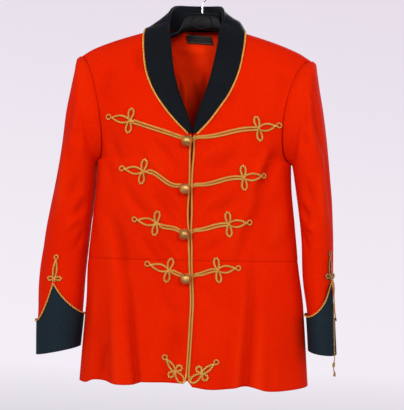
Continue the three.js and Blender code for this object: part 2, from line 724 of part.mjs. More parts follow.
// The roll collar. Each row is a place from the nape to the break: the fold's top line, and the
// outer edge, which lies on the back or on a front. x and drop are the photograph's outline.
const COLLAR = [
  { along: 0.0, foldX: 0, foldY: 53, foldDrop: 45, edgeX: 0, edgeY: 60, edgeDrop: 111 },
  { along: 0.09, foldX: 23, foldY: 51, foldDrop: 45, edgeX: 33, edgeY: 57, edgeDrop: 111 },
  { along: 0.17, foldX: 39, foldY: 41, foldDrop: 46, edgeX: 62, edgeY: 50, edgeDrop: 109 },
  { along: 0.25, foldX: 48, foldY: 24, foldDrop: 51, edgeX: 82, edgeY: 31, edgeDrop: 103 },
  { along: 0.33, foldX: 51.5, foldY: 4, foldDrop: 65, edgeX: 92, edgeY: 6, edgeDrop: 98 },
  { along: 0.41, foldX: 51.5, foldY: -17, foldDrop: 88, edgeX: 95, edgeY: -20, edgeDrop: 112 },
  { along: 0.5, foldX: 48, foldY: -38, foldDrop: 118, edgeX: 93, edgeY: -38, edgeDrop: 140 },
  { along: 0.6, foldX: 43, foldY: -60, foldDrop: 156, edgeX: 86, edgeY: -56, edgeDrop: 181 },
  { along: 0.7, foldX: 35.5, foldY: -74, foldDrop: 194, edgeX: 72, edgeY: -70, edgeDrop: 217 },
  { along: 0.8, foldX: 25, foldY: -83, foldDrop: 229, edgeX: 53, edgeY: -80, edgeDrop: 247 },
  { along: 0.9, foldX: 12.5, foldY: -88, foldDrop: 262, edgeX: 30, edgeY: -86, edgeDrop: 276 },
  { along: 1.0, foldX: 1.4, foldY: -90, foldDrop: 299, edgeX: 6.0, edgeY: -90, edgeDrop: 301 },
];

const SHOULDER_PLACE = 0.33; // where the collar crosses the shoulders' top line
// How far the collar's fall stands off a straight slope: more on the wearer's left
const COLLAR_FULLNESS = { left: 9, right: 3, lapel: 2 };

// One section of the collar as a line of points: up inside the neck, over the fold, and down
// outside to the edge. The half is mirrored for the wearer's right.
function collarSection(along, side) {
  const value = (column) => read(COLLAR, "along", column, along);
  const fold = new THREE.Vector3(value("foldX"), value("foldY"), -value("foldDrop"));
  const edge = new THREE.Vector3(value("edgeX"), value("edgeY"), -value("edgeDrop"));
  const lapel = smooth(clamp((along - 0.36) / 0.14, 0, 1)); // 0 round the neck, 1 on the front
  const spine = (t) => fold.clone().lerp(edge, t);
  const onCloth = (p, lift) => onPanel("front", p.x, -p.z, lift).point;
  const shoulder = 1.8 * (1 - smooth(clamp((along - 0.45) / 0.2, 0, 1)));
  const lifts = { near: 3.6 + shoulder, far: 2.7 + shoulder };
  const away = collarWay(along).cross(edge.clone().sub(fold)).normalize();
  const outside = (t) => {
    const free = spine(t);
    const fullness = side > 0 ? COLLAR_FULLNESS.left : COLLAR_FULLNESS.right;
    free.addScaledVector(away, lerp(fullness, COLLAR_FULLNESS.lapel, lapel) * Math.sin(Math.PI * t * t));
    clearCoat(free, lerp(lifts.near, lifts.far, t));
    if (lapel === 0) return free;
    return free.lerp(onCloth(spine(t), lerp(lifts.near, lifts.far, t)), lapel);
  };
  const around = clamp(along / SHOULDER_PLACE, 0, 1);
  const past = clamp(along - SHOULDER_PLACE, 0, 1);
  const neckSeam = new THREE.Vector3(
    56 * Math.sin((around * Math.PI) / 2),
    lerp(44.2, 8, Math.pow(around, 2.2)),
    -lerp(NAPE_DROP + 3, 93.5, around * around),
  );
  const depth = lerp(0, 9, lapel);
  const byFold = (x, z, lift) => onCloth(fold.clone().add(new THREE.Vector3(x, 0, z)), lift);
  const inside = byFold(3 + depth * 0.6, -depth * 0.4, -(CLOTH + 2.6));
  const frontSeam = new THREE.Vector3(54, -8 - 40 * past, -96 - 140 * past);
  const seam = neckSeam.lerp(frontSeam, smooth(clamp(past / 0.08, 0, 1))).lerp(inside, lapel);
  const standMiddle = seam.clone().lerp(fold, 0.5).lerp(byFold(2.5, 0, -(CLOTH + 2.3)), lapel);
  const top = fold.clone().lerp(byFold(-1.2, 0, -0.8), lapel);
  const points = [seam, standMiddle, top, outside(0.12), outside(0.4), outside(0.7), outside(1)];
  points.forEach((p) => (p.x *= side));
  return points;
}

// Moves a point that is in or near the coat's shoulders out of them, up or back, by a clearance
function clearCoat(p, clearance) {
  if (p.y > 20) p.y = Math.max(p.y, surfaceY("back", p.x, Math.max(-p.z, 92)) + clearance);
  const face = p.y < 5 ? "front" : "back";
  const sign = face === "front" ? -1 : 1;
  let [high, low] = [readRidge(p.x), 300];
  for (let i = 0; i < 24; i += 1) {
    const middle = (high + low) / 2;
    if (sign * (surfaceY(face, p.x, middle) - p.y) > 0) low = middle;
    else high = middle;
  }
  if (p.y < 45) p.z = Math.max(p.z, -high + 1.35 * clearance);
}

// The way the collar's fold line runs at a place on it
function collarWay(along) {
  const at = (a) =>
    new THREE.Vector3(
      read(COLLAR, "along", "foldX", a),
      read(COLLAR, "along", "foldY", a),
      -read(COLLAR, "along", "foldDrop", a),
    );
  return at(Math.min(along + 0.02, 1)).sub(at(Math.max(along - 0.02, 0))).normalize();
}

function collar() {
  const half = spread(16);
  const left = half.map((a) => collarSection(a, 1));
  const right = half.slice(1).map((a) => collarSection(a, -1));
  const grid = [...left.reverse(), ...right];
  return wall(grid, FACING, { flip: true });
}

function collarCord() {
  const half = spread(18);
  const point = (along, side) => {
    const section = collarSection(along, side);
    const [before, edge] = section.slice(-2);
    const out = edge.clone().sub(before).normalize();
    return { edge, out };
  };
  const stations = [...half.map((a) => [a, 1]).reverse(), ...half.slice(1).map((a) => [a, -1])];
  const centres = stations.map(([a, side]) => {
    const { edge, out } = point(a, side);
    return edge.clone().addScaledVector(out, 2.5);
  });
  const radius = 1.7;
  const sections = centres.map((centre, i) => {
    const ahead = centres[Math.min(i + 1, centres.length - 1)];
    const way = ahead.clone().sub(centres[Math.max(i - 1, 0)]).normalize();
    const out = point(...stations[i]).out;
    const up = way.clone().cross(out).normalize();
    const across = up.clone().cross(way).normalize();
    return [0, 1, 2, 3, 4].map((k) => {
      const a = (2 * Math.PI * k) / 5;
      const [aside, above] = [radius * Math.cos(a), radius * Math.sin(a)];
      return centre.clone().addScaledVector(across, aside).addScaledVector(up, above);
    });
  });
  return tubeOf(sections);
}

// Closes a run of equal sections with flat ends
function tubeOf(sections) {
  const size = sections[0].length;
  const count = sections.length;
  const triangles = [];
  for (let i = 0; i < count - 1; i += 1)
    for (let k = 0; k < size; k += 1) {
      const next = (k + 1) % size;
      const [a, b, c, d] = [i * size + k, i * size + next, (i + 1) * size + next, (i + 1) * size + k];
      triangles.push([a, b, c, a, c, d]);
    }
  const end = (count - 1) * size;
  for (let k = 1; k < size - 1; k += 1) {
    triangles.push([0, k + 1, k]);
    triangles.push([end, end + k, end + k + 1]);
  }
  return geometryFrom(solid(geometryOf(sections.flat(), triangles)));
}

// Red lining inside the upper back, as far as it shows through the neck
function backLining() {
  const drops = [97, 124, 160, 215, 275, 345];
  const share = 0.8;
  const grid = drops.map((drop) =>
    spread(10).map((t) => {
      const x = lerp(1, -1, t) * share * Math.min(panelEnd("back", drop).x, 150);
      return onPanel("back", x, drop, -(CLOTH + 3 * SEAM)).point;
    }),
  );
  return wall(grid, LINING);
}

function neckLabel() {
  const [width, height, top] = [52, 17, 99];
  const grid = [0, 1].map((v) =>
    spread(4).map((t) =>
      onPanel("back", lerp(width / 2, -width / 2, t), top + v * height, -(CLOTH + 5 * SEAM + LINING)).point,
    ),
  );
  return wall(grid, LINING);
}

// A hollow ball button on its shank, standing on the wearer's right front
function ballButton(drop) {
  const { radius, stand, shank } = BUTTON;
  const foot = SEAM;
  const flat = Math.asin(shank / radius);
  const profile = [
    new THREE.Vector2(0, foot),
    new THREE.Vector2(shank, foot),
    ...spread(7).map((t) => {
      const a = lerp(flat, Math.PI, t);
      return new THREE.Vector2(radius * Math.sin(a), foot + stand + radius * (1 - Math.cos(a)) * 0.92);
    }),
  ];
  profile.at(-1).x = 0;
  const { point, normal } = onPanel("front", BUTTON.x, drop, 0);
  const turned = new THREE.LatheGeometry(profile, 12);
  turned.applyQuaternion(new THREE.Quaternion().setFromUnitVectors(new THREE.Vector3(0, 1, 0), normal));
  turned.translate(point.x, point.y, point.z);
  return geometryFrom(solid(turned));
}

// Hanger: top and bottom of its body in drop, and its half depth, out along each arm
const HANGER = [
  { x: 0, top: 62, bottom: 94, depth: 9 },
  { x: 18, top: 62.5, bottom: 95, depth: 9 },
  { x: 28, top: 64, bottom: 97, depth: 9 },
  { x: 34, top: 69, bottom: 99, depth: 9 },
  { x: 38, top: 79, bottom: 101, depth: 9 },
  { x: 45, top: 96, bottom: 106, depth: 9.5 },
  { x: 56, top: 99, bottom: 113, depth: 10 },
  { x: 66, top: 100.5, bottom: 119, depth: 11 },
  { x: 94, top: 105, bottom: 129, depth: 13 },
  { x: 130, top: 115.2, bottom: 139, depth: 15 },
  { x: 165, top: 127.2, bottom: 150, depth: 17 },
  { x: 192, top: 138.4, bottom: 160, depth: 18 },
  { x: 203, top: 147, bottom: 158, depth: 12 },
];
const SOCKET_DEPTH = 14;
const RECESS = { halfWidth: 20, halfHeight: 12.5, depth: 4, drop: 79.5 };

// The hook of bent wire: its stem as x from the hook's axis and z, then the crook's turns
const WIRE = 1.8;
const CROOK = { bearing: 15.5, turns: [-38, -18, 2, 24, 46, 68, 90, 112, 134, 156, 178, 200] };
const STEM = [
  { x: 0, z: -75.4 },
  { x: 0, z: -60 },
  { x: 0, z: -48 },
  { x: 1.2, z: -41 },
  { x: 6, z: -35.5 },
  { x: 11.5, z: -29 },
];

// Middle of the hanger from front to back: it stands under the shoulders' top line
const hangerY = (x) =>
  lerp(HOOK_AXIS.y, panelEnd("front", readRidge(x)).y, smooth(clamp(Math.abs(x) / 60, 0, 1)));

function hanger() {
  const sides = 10;
  const reach = HANGER.map((row) => row.x);
  const xs = [...reach.slice(1).map((x) => -x).reverse(), ...reach];
  const sections = xs.map((x) => {
    const off = Math.abs(x);
    const top = -read(HANGER, "x", "top", off);
    const bottom = -read(HANGER, "x", "bottom", off);
    const depth = read(HANGER, "x", "depth", off);
    const y = hangerY(x);
    const boss = x + HOOK_AXIS.x * clamp(1 - (off - 44) / 50, 0, 1);
    return Array.from({ length: sides }, (_, k) => {
      const a = (2 * Math.PI * (k + 0.5)) / sides;
      const [c, s] = [Math.cos(a), Math.sin(a)];
      const square = (v) => Math.sign(v) * Math.pow(Math.abs(v), 0.75);
      const z = (top + bottom) / 2 + ((top - bottom) / 2) * square(s);
      return new THREE.Vector3(boss, y + depth * square(c), z);
    });
  });
  const body = solid(tubeOf(sections));
  const axis = new THREE.Vector3(HOOK_AXIS.x, HOOK_AXIS.y, 0);
  const socket = new THREE.CylinderGeometry(WIRE + SEAM, WIRE + SEAM, SOCKET_DEPTH * 2, 16);
  socket.rotateX(Math.PI / 2).translate(axis.x, axis.y, -HANGER[0].top);
  const recess = new THREE.CylinderGeometry(1, 1, RECESS.depth, 28);
  recess.scale(RECESS.halfWidth, 1, RECESS.halfHeight).translate(axis.x, axis.y - 9.5, -RECESS.drop);
  return geometryFrom(body.subtract(solid(socket)).subtract(solid(recess)));
}

function hook() {
  const radius = CROOK.bearing + WIRE;
  const crook = CROOK.turns.map((degrees) => {
    const a = radians(degrees);
    return { x: radius * Math.cos(a), z: radius * Math.sin(a) - CROOK.bearing };
  });
  const curve = new THREE.CatmullRomCurve3(
    [...STEM, ...crook].map(({ x, z }) => new THREE.Vector3(HOOK_AXIS.x + x, HOOK_AXIS.y, z)),
  );
  const sides = 7;
  const circleShape = new THREE.Shape(
    Array.from({ length: sides }, (_, k) => {
      const a = (2 * Math.PI * k) / sides;
      return new THREE.Vector2(WIRE * Math.cos(a), WIRE * Math.sin(a));
    }),
  );
  const options = { extrudePath: curve, steps: 26, bevelEnabled: false };
  return geometryFrom(solid(new THREE.ExtrudeGeometry(circleShape, options)));
}

// Gold cord that has come away from the left cuff's knot and hangs past the cuff, with its points
// chosen by hand: x from the coat's middle, y and drop
const LOOSE_CORD = { radius: 1.25, sides: 6, steps: 26 };
const LOOSE_CORD_ROUTE = [
  [268.2, -39.2, 565.5],
  [269.6, -40.0, 570.0],
  [271.6, -41.0, 575.0],
  [272.6, -41.4, 581.0],
  [273.0, -41.5, 590.0],
  [273.1, -41.6, 604.0],
  [273.2, -41.9, 622.0],
  [273.4, -42.2, 642.0],
  [273.9, -42.6, 662.0],
  [274.6, -43.1, 682.0],
  [275.4, -43.7, 702.0],
  [275.9, -44.0, 713.0],
  [275.4, -44.1, 722.0],
  [274.2, -44.2, 731.0],
  [274.8, -44.0, 738.0],
  [276.0, -43.8, 744.0],
  [275.6, -43.6, 751.0],
];

function looseCord() {
  const { radius, sides, steps } = LOOSE_CORD;
  const curve = new THREE.CatmullRomCurve3(
    LOOSE_CORD_ROUTE.map(([x, y, drop]) => new THREE.Vector3(x, y, -drop)),
  );
  const section = new THREE.Shape(
    Array.from({ length: sides }, (_, k) => {
      const a = (2 * Math.PI * k) / sides;
      return new THREE.Vector2(radius * Math.cos(a), radius * Math.sin(a));
    }),
  );
  const swept = new THREE.ExtrudeGeometry(section, { extrudePath: curve, steps, bevelEnabled: false });
  return geometryFrom(solid(swept));
}

function moveVertices(geometry, swings) {
  const positions = geometry.attributes.position;
  const p = new THREE.Vector3();
  for (let i = 0; i < positions.count; i += 1) {
    hang(p.fromBufferAttribute(positions, i), swings);
    positions.setXYZ(i, p.x, p.y, p.z);
  }
}

const MATERIALS = {
  scarlet: new THREE.MeshStandardMaterial({ color: 0xdb1e06, roughness: 0.85 }),
  green: new THREE.MeshStandardMaterial({ color: 0x1d2a2c, roughness: 0.8 }),
  lining: new THREE.MeshStandardMaterial({ color: 0xd92410, roughness: 0.6 }),
  gold: new THREE.MeshStandardMaterial({ color: 0xb8883a, roughness: 0.45, metalness: 0.5 }),
  brass: new THREE.MeshStandardMaterial({ color: 0x9c7a3c, roughness: 0.35, metalness: 1 }),
  black: new THREE.MeshStandardMaterial({ color: 0x17171b, roughness: 0.5 }),
  steel: new THREE.MeshStandardMaterial({ color: 0xc9cbce, roughness: 0.15, metalness: 1 }),
};

const coat = new THREE.Group();
const add = (name, geometry, material, { hangs = true, swings = true } = {}) => {
  if (hangs) moveVertices(geometry, swings);
  const mesh = new THREE.Mesh(geometry, MATERIALS[material]);
  mesh.name = name;
  coat.add(mesh);
};

for (const [wearer, side] of [["left", 1], ["right", -1]]) {
  add(`front_${wearer}`, frontPanel(side, BODICE_DROPS, 7), "scarlet");
  add(`skirt_front_${wearer}`, frontPanel(side, SKIRT_DROPS, 12, true), "scarlet");
  add(`sleeve_${wearer}`, sleeve(wearer), "scarlet", { swings: false });
  add(`cuff_${wearer}`, cuff(wearer), "green", { swings: false });
  add(`cuff_cord_${wearer}`, cuffCord(wearer), "gold", { swings: false });
  add(`cuff_knot_${wearer}`, sleeveKnot(wearer), "gold", { swings: false });
  add(`edge_cord_${wearer}`, edgeCord(side), "gold");
  add(`hem_knot_${wearer}`, hemKnot(wearer), "gold");
  FROGS[wearer].forEach((row, i) => {
    add(`frog_${wearer}_${i + 1}`, frog(wearer, row, BUTTON_DROPS[i]), "gold");
  });
}
add("back", backPanel(BODICE_DROPS, 7, true), "scarlet");
add("skirt_back", backPanel(SKIRT_DROPS, 9), "scarlet");
add("back_lining", backLining(), "lining");
add("neck_label", neckLabel(), "black");
add("collar", collar(), "green");
add("collar_cord", collarCord(), "gold");
BUTTON_DROPS.forEach((drop, i) => add(`button_${i + 1}`, ballButton(drop), "brass"));
add("hanger", hanger(), "black");
add("hanger_hook", hook(), "steel", { hangs: false });
add("loose_cord", looseCord(), "gold", { hangs: false });

coat.position.set(-HOOK_AXIS.x, -HOOK_AXIS.y, 0);
const part = new THREE.Group();
part.add(coat);

export default part;
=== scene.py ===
"""A scarlet mess jacket with a hussar front, hanging on a plastic coat hanger.

Lengths are in millimetres in the coat's own frame: x from its middle plane towards the wearer's
left, y towards the back, z up from the point where a rail bears in the hook, and drop for -z.
to_part turns them into metres in the part's frame.
"""

import bpy
import numpy as np
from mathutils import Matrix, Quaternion, Vector


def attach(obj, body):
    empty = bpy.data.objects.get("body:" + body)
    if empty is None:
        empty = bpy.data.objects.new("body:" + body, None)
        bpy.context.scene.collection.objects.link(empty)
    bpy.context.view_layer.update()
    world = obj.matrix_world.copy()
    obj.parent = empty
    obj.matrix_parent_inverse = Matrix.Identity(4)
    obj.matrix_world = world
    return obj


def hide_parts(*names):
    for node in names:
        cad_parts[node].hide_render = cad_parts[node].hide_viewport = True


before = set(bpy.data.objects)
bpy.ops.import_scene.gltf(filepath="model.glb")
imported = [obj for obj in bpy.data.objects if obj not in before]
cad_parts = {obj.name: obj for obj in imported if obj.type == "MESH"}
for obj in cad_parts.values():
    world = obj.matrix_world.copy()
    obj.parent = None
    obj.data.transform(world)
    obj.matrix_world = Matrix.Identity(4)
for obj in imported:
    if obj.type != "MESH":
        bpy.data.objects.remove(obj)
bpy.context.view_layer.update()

MM = 0.001


def table(columns, *rows):
    """Rows of numbers under named columns, kept as one array for each column."""
    return dict(zip(columns.split(), np.array(rows, dtype=float).T))


# Driving dimensions
CLOTH = 2.0
FACING = 1.8
LINING = 0.8
SEAM = 0.3
HOOK_AXIS = np.array([10.0, 15.0, 0.0])
NECK_X = 66.0
NAPE_DROP = 92.0
SHOULDER = {"x": 222.0, "y": -3.0, "drop": 153.0}
UNDERARM = {"x": 187.0, "y": 0.0, "drop": 352.0}
ARMHOLE = {"front": (-62.0, 28.0), "back": (68.0, 16.0)}  # depth and scoop of the armhole
OUTWARD = {"front": -1, "back": 1}
FORWARDS, BACKWARDS = (0.0, -1.0, 0.0), (0.0, 1.0, 0.0)
SIGN = {"left": 1, "right": -1}  # of x on each side of the wearer
WAIST_DROP = 539.0
HEM_DROP = 775.0
FLATNESS = 2.35  # 2 is an ellipse; more makes a section flatter in front
SHOULDER_TILT = 0.018
SKIRT_SWING = 4.5
RING_SHARE = 0.04  # of a sleeve's length, from the armhole to the first ring of its table
HEAD_FULLNESS = 2.6
HEAD_PUCKER = 0.55

TORSO = table(
    "drop front back",
    (89, -24, 49), (120, -40, 58), (153, -54, 64), (205, -70, 70), (260, -82, 74),
    (352, -86, 76), (450, -80, 70), (539, -77, 66), (650, -84, 74), (775, -92, 86),
)
RIDGE = table("drop x", (88, 56), (91, 66), (101, 94), (112, 130), (124, 165), (139, 200), (153, 222))
SIDE = table("drop x", (352, 187), (403, 189), (470, 196), (539, 203), (650, 212), (777, 221))
# The back's curved seams, from the armholes down
SIDE_BODY = table(
    "drop x",
    (236, 172), (270, 152), (330, 122), (400, 92), (470, 70), (539, 58), (640, 60), (775, 68),
)
FRONT_EDGE = table(
    "drop x",
    (91, 60), (104, 57.5), (124, 55), (153, 50.5), (190, 42.5), (225, 31.5), (257, 19.5),
    (288, 8), (303, 2.0), (340, 1.8), (362, 0.9), (384, 0.4), (403, 0.5), (425, 1.3), (450, 1.8),
    (467, 1.2), (488, 0.4), (510, 0.9), (537, 0.4), (600, 0.3), (775, 0.3),
)
HEM = table(
    "x drop",
    (-222, 775), (-200, 775), (-186, 769), (-164, 767), (-145, 771), (-100, 772), (-88, 767),
    (-8, 766), (3, 771), (12, 772), (40, 775.5), (77, 774), (106, 770), (124, 771), (147, 777),
    (177, 778), (222, 775),
)
OPENING_SHIFT = table(
    "drop shift",
    (100, 0), (130, 2.5), (190, 3), (257, 5), (300, 7), (352, 6), (403, 4.4), (450, 3.6),
    (488, 4.2), (530, 5.8), (600, 6.5), (680, 4), (775, 0),
)
SKIRT_FOLDS = {
    "front": table(
        "waist hem depth width",
        (-150, -127, 11, 26), (-118, -98, -9, 20), (-196, -190, -5, 14), (112, 98, -7, 22),
        (146, 150, 7, 28), (60, 44, 4, 30),
    ),
    "back": table(
        "waist hem depth width",
        (-140, -150, 9, 30), (-95, -92, -8, 24), (-12, -16, 7, 34), (74, 84, -8, 26),
        (128, 140, 9, 30),
    ),
}
SLEEVE_COLUMNS = "outer_x outer_drop inner_x inner_drop front back"
SLEEVE = {
    "left": table(
        SLEEVE_COLUMNS,
        (230, 160, 189.5, 356, -66, 70), (234, 176, 190.5, 362, -69, 72),
        (239, 206, 192, 370, -70, 72), (247.5, 256, 194, 382, -69, 72),
        (257, 326, 197, 402, -66, 71), (265, 408, 203, 446, -60, 68),
        (269, 490, 209, 500, -57, 62), (270, 574, 213, 572, -58, 55),
        (272.5, 650, 223, 640, -59, 49), (276.5, 713, 228, 706, -60, 44),
    ),
    "right": table(
        SLEEVE_COLUMNS,
        (228, 158, 189.5, 356, -66, 70), (231.5, 174, 190.5, 362, -69, 72),
        (237.5, 204, 191.5, 370, -70, 72), (248, 256, 192, 382, -69, 72),
        (259, 326, 193, 404, -64, 70), (273, 408, 198, 448, -57, 64),
        (287, 490, 203.5, 502, -53, 57), (295, 574, 210, 574, -52, 51),
        (299.5, 650, 214, 640, -52, 47), (299, 728, 220, 711, -53, 44),
    ),
}
CUFF = {
    "left": {"point": 140, "at": 40, "outer": (64, 45, 3), "inner": (64, 115, 2.5)},
    "right": {"point": 140, "at": 82, "outer": (64, 60, 3), "inner": (72, 106, 2.2)},
}
FROGS = {
    "left": [
        {"bar": (6.8, 308), "cross": (126, 289), "ring": (169, 280.5), "sag": 1.5},
        {"bar": (6.8, 396), "cross": (100, 381.5), "ring": (140, 377), "sag": 2.0},
        {"bar": (6.8, 481), "cross": (73, 469), "ring": (112, 465.5), "sag": 1.0},
        {"bar": (6.8, 564), "cross": (51, 555), "ring": (91, 550.5), "sag": 1.0},
    ],
    "right": [
        {"bar": (-16.5, 310), "cross": (-115, 279), "ring": (-160, 271.5), "sag": -1.0},
        {"bar": (-17.5, 398), "cross": (-89, 373.5), "ring": (-132, 367.5), "sag": 4.0},
        {"bar": (-16.5, 484), "cross": (-63, 469.5), "ring": (-106, 462.5), "sag": -2.0},
        {"bar": (-16.5, 566), "cross": (-41, 557), "ring": (-80, 546), "sag": 0},
    ],
}
KNOT = {
    "frog": {"loop": 24.5, "loop_width": 14, "eye": 35.5, "eye_width": 17, "ring": 4.3},
    "hem": {"loop": 17, "loop_width": 14.5, "eye": 28, "eye_width": 12.5, "ring": 4.2},
    "sleeve": {"loop": 18, "loop_width": 11.5, "eye": 38, "eye_width": 13, "ring": 4.3},
}
HEM_CORNER = {"left": ((27, 746), 40), "right": ((-24, 744), 50)}
BUTTON_DROPS = (316, 403, 488, 572)
BUTTON = {"radius": 10.3, "x": -8.6, "shank": 2.0, "stand": 4.4}
# Sewn cords: how wide and high they are, and how far one turn of their twist runs
CORD_HEIGHT = 2.8
EDGE_CORD = {"width": 4.0, "height": 2.4}
COLLAR_CORD = {"width": 3.8, "height": 3.4}
CUFF_CORD = {"width": 3.8, "height": 2.5}
RING_CORD = {"width": 3.4, "height": 2.4, "pitch": 6.8}
LOOP_CORD = {"width": 3.0, "height": 2.2, "pitch": 6.5}
COLLAR = table(
    "along fold_x fold_y fold_drop edge_x edge_y edge_drop",
    (0.0, 0, 53, 45, 0, 60, 111), (0.09, 23, 51, 45, 33, 57, 111), (0.17, 39, 41, 46, 62, 50, 109),
    (0.25, 48, 24, 51, 82, 31, 103), (0.33, 51.5, 4, 65, 92, 6, 98),
    (0.41, 51.5, -17, 88, 95, -20, 112), (0.5, 48, -38, 118, 93, -38, 140),
    (0.6, 43, -60, 156, 86, -56, 181), (0.7, 35.5, -74, 194, 72, -70, 217),
    (0.8, 25, -83, 229, 53, -80, 247), (0.9, 12.5, -88, 262, 30, -86, 276),
    (1.0, 1.4, -90, 299, 6.0, -90, 301),
)
COLLAR_LIFT = {"fold": 3.6, "edge": 2.7}  # its outer face over the coat
COLLAR_FULLNESS = {"left": 9, "right": 3, "lapel": 2}
HANGER = table(
    "x top bottom depth",
    (0, 62, 94, 9), (18, 62.5, 95, 9), (28, 64, 97, 9), (34, 69, 99, 9), (38, 79, 101, 9),
    (45, 96, 106, 9.5), (56, 99, 113, 10), (66, 100.5, 119, 11), (94, 105, 129, 13),
    (130, 115.2, 139, 15), (165, 127.2, 150, 17), (192, 138.4, 160, 18), (203, 147, 158, 12),
)
HOLLOW = {"half_width": 20, "half_height": 12.5, "drop": 79.5, "depth": 1.6}  # in the hanger's front
LABEL = {"width": 52.0, "height": 17.0, "drop": 99.0}
HOOK = {"bearing": 15.5, "wire": 1.8}  # radius inside the crook, and of the wire

# Loose cord's route in metres in the part's frame, from the left cuff's knot down past the cuff
LOOSE_CORD_ROUTE = [
    (0.2582, -0.0542, -0.5655), (0.2596, -0.0550, -0.5700), (0.2616, -0.0560, -0.5750),
    (0.2626, -0.0564, -0.5810), (0.2630, -0.0565, -0.5900), (0.2631, -0.0566, -0.6040),
    (0.2632, -0.0569, -0.6220), (0.2634, -0.0572, -0.6420), (0.2639, -0.0576, -0.6620),
    (0.2646, -0.0581, -0.6820), (0.2654, -0.0587, -0.7020), (0.2659, -0.0590, -0.7130),
    (0.2654, -0.0591, -0.7220), (0.2642, -0.0592, -0.7310), (0.2648, -0.0590, -0.7380),
    (0.2660, -0.0588, -0.7440), (0.2656, -0.0586, -0.7510),
]
LOOSE_CORD_DIAMETER = 0.0025

FOLD_STRENGTH = 2.4
PANEL_COLUMNS = 62
ROW_SPACING = 3.6
FAR_OFF = 99.0  # a distance at which a seam no longer shows
ROUND_ARM = 0.95  # mm round a sleeve for each degree

# Creases of each panel: where each starts and ends, how far it bows to one side,
# how wide it is and how far it stands out, or in when negative
CREASE_COLUMNS = "x0 drop0 x1 drop1 bow width height"
CREASES = {
    "front": table(
        CREASE_COLUMNS,
        (-150, 300, -122, 372, 6, 9, -1.9), (-168, 330, -150, 420, -6, 11, -1.4),
        (-96, 314, -34, 396, 5, 7, 1.3), (-78, 306, -18, 384, -4, 6.5, -1.8),
        (-130, 388, -66, 468, 6, 8, -2.0), (-74, 392, -24, 478, 4, 6.5, -1.8),
        (-50, 400, -6, 458, -3, 6, 1.1), (-160, 440, -120, 570, -8, 13, -2.4),
        (-100, 480, -40, 556, 5, 7, -1.5), (-62, 486, -10, 560, -4, 7, 1.2),
        (186, 300, 122, 470, 10, 10, -2.9), (160, 310, 118, 420, -5, 8, -2.0),
        (142, 420, 88, 560, 8, 9, -2.3), (170, 420, 150, 520, -7, 18, 1.6),
        (96, 322, 30, 372, -5, 11, -1.5), (60, 318, 10, 356, 3, 9, 1.2),
        (98, 410, 30, 452, -6, 11, -1.5), (52, 414, 8, 470, 5, 9, 1.1), (76, 492, 22, 532, 4, 10, -1.4),
        (96, 214, 60, 262, 5, 10, -1.8), (70, 262, 22, 292, 3, 8, -1.0),
        (-108, 130, -82, 190, 6, 15, -2.0), (-150, 170, -170, 255, 8, 14, -1.5),
        (160, 168, 178, 250, -8, 15, -1.6), (-60, 590, -14, 650, 6, 12, -1.4),
        (18, 585, 60, 640, -6, 14, -1.2), (-30, 640, -20, 720, 3, 12, -1.0),
        (-176, 560, -182, 690, 5, 13, 1.6), (-160, 690, -172, 768, 4, 8, -2.2),
        (16, 650, 34, 740, 4, 14, 1.0), (-196, 420, -184, 520, 4, 10, -1.4),
        (-140, 455, -50, 1040, 4, 7.5, -4.0), (-119, 560, -72, 960, 3, 3.4, -2.4),
        (-156, 520, -104, 1040, 2, 11, 2.2), (-124, 540, -40, 1060, 2, 9, 1.6),
        (-176, 590, -170, 960, 3, 7, -1.0), (122, 480, 102, 1040, 5, 7.5, -3.2),
        (140, 540, 122, 1040, 3, 12, 2.0), (100, 560, 82, 1040, 3, 9, 1.4),
        (150, 690, 160, 860, 0, 8, -1.0), (-26, 640, -54, 900, 4, 15, -1.8),
    ),
    "back": table(
        CREASE_COLUMNS,
        (-168, 300, -110, 400, 10, 16, -2.4), (-150, 340, -96, 452, 8, 13, 1.6),
        (-110, 420, -60, 530, 6, 14, -2.0), (160, 296, 104, 410, -10, 16, -2.6),
        (150, 350, 100, 460, -8, 13, 1.5), (112, 430, 58, 532, -6, 14, -1.9),
        (-60, 124, 40, 130, 6, 9, -0.9), (-90, 150, -30, 176, 5, 14, 1.3),
        (30, 172, 104, 148, 5, 14, -1.4), (-36, 200, -52, 340, 6, 18, -1.6),
        (46, 210, 60, 330, -5, 18, 1.4), (-20, 470, -44, 560, 5, 14, 1.6),
        (22, 480, 46, 566, -5, 13, -1.6), (-170, 590, -186, 760, 6, 15, -2.2),
        (176, 600, 184, 766, -5, 15, 2.0), (-50, 620, -48, 764, 4, 13, -1.6),
        (36, 610, 32, 760, 5, 14, -1.8), (-176, 450, -188, 548, 4, 12, -1.6),
        (180, 430, 190, 540, -4, 12, -1.5),
    ),
}
LINING_CREASES = table(
    CREASE_COLUMNS,
    (-84, 125, -42, 116, 2, 2.4, 2.2), (-66, 136, -50, 160, -7, 2.6, 1.6),
    (-58, 136, -48, 160, 7, 2.6, 1.6), (-62, 172, -54, 236, 3, 4.5, 2.8),
    (-46, 168, -36, 246, -4, 5, 2.6), (-18, 170, -6, 250, -4, 7, 2.2), (8, 150, 10, 260, 3, 9, 2.4),
    (28, 140, 16, 270, -4, 10, 1.8), (-50, 200, -30, 300, 4, 9, 2.0),
)
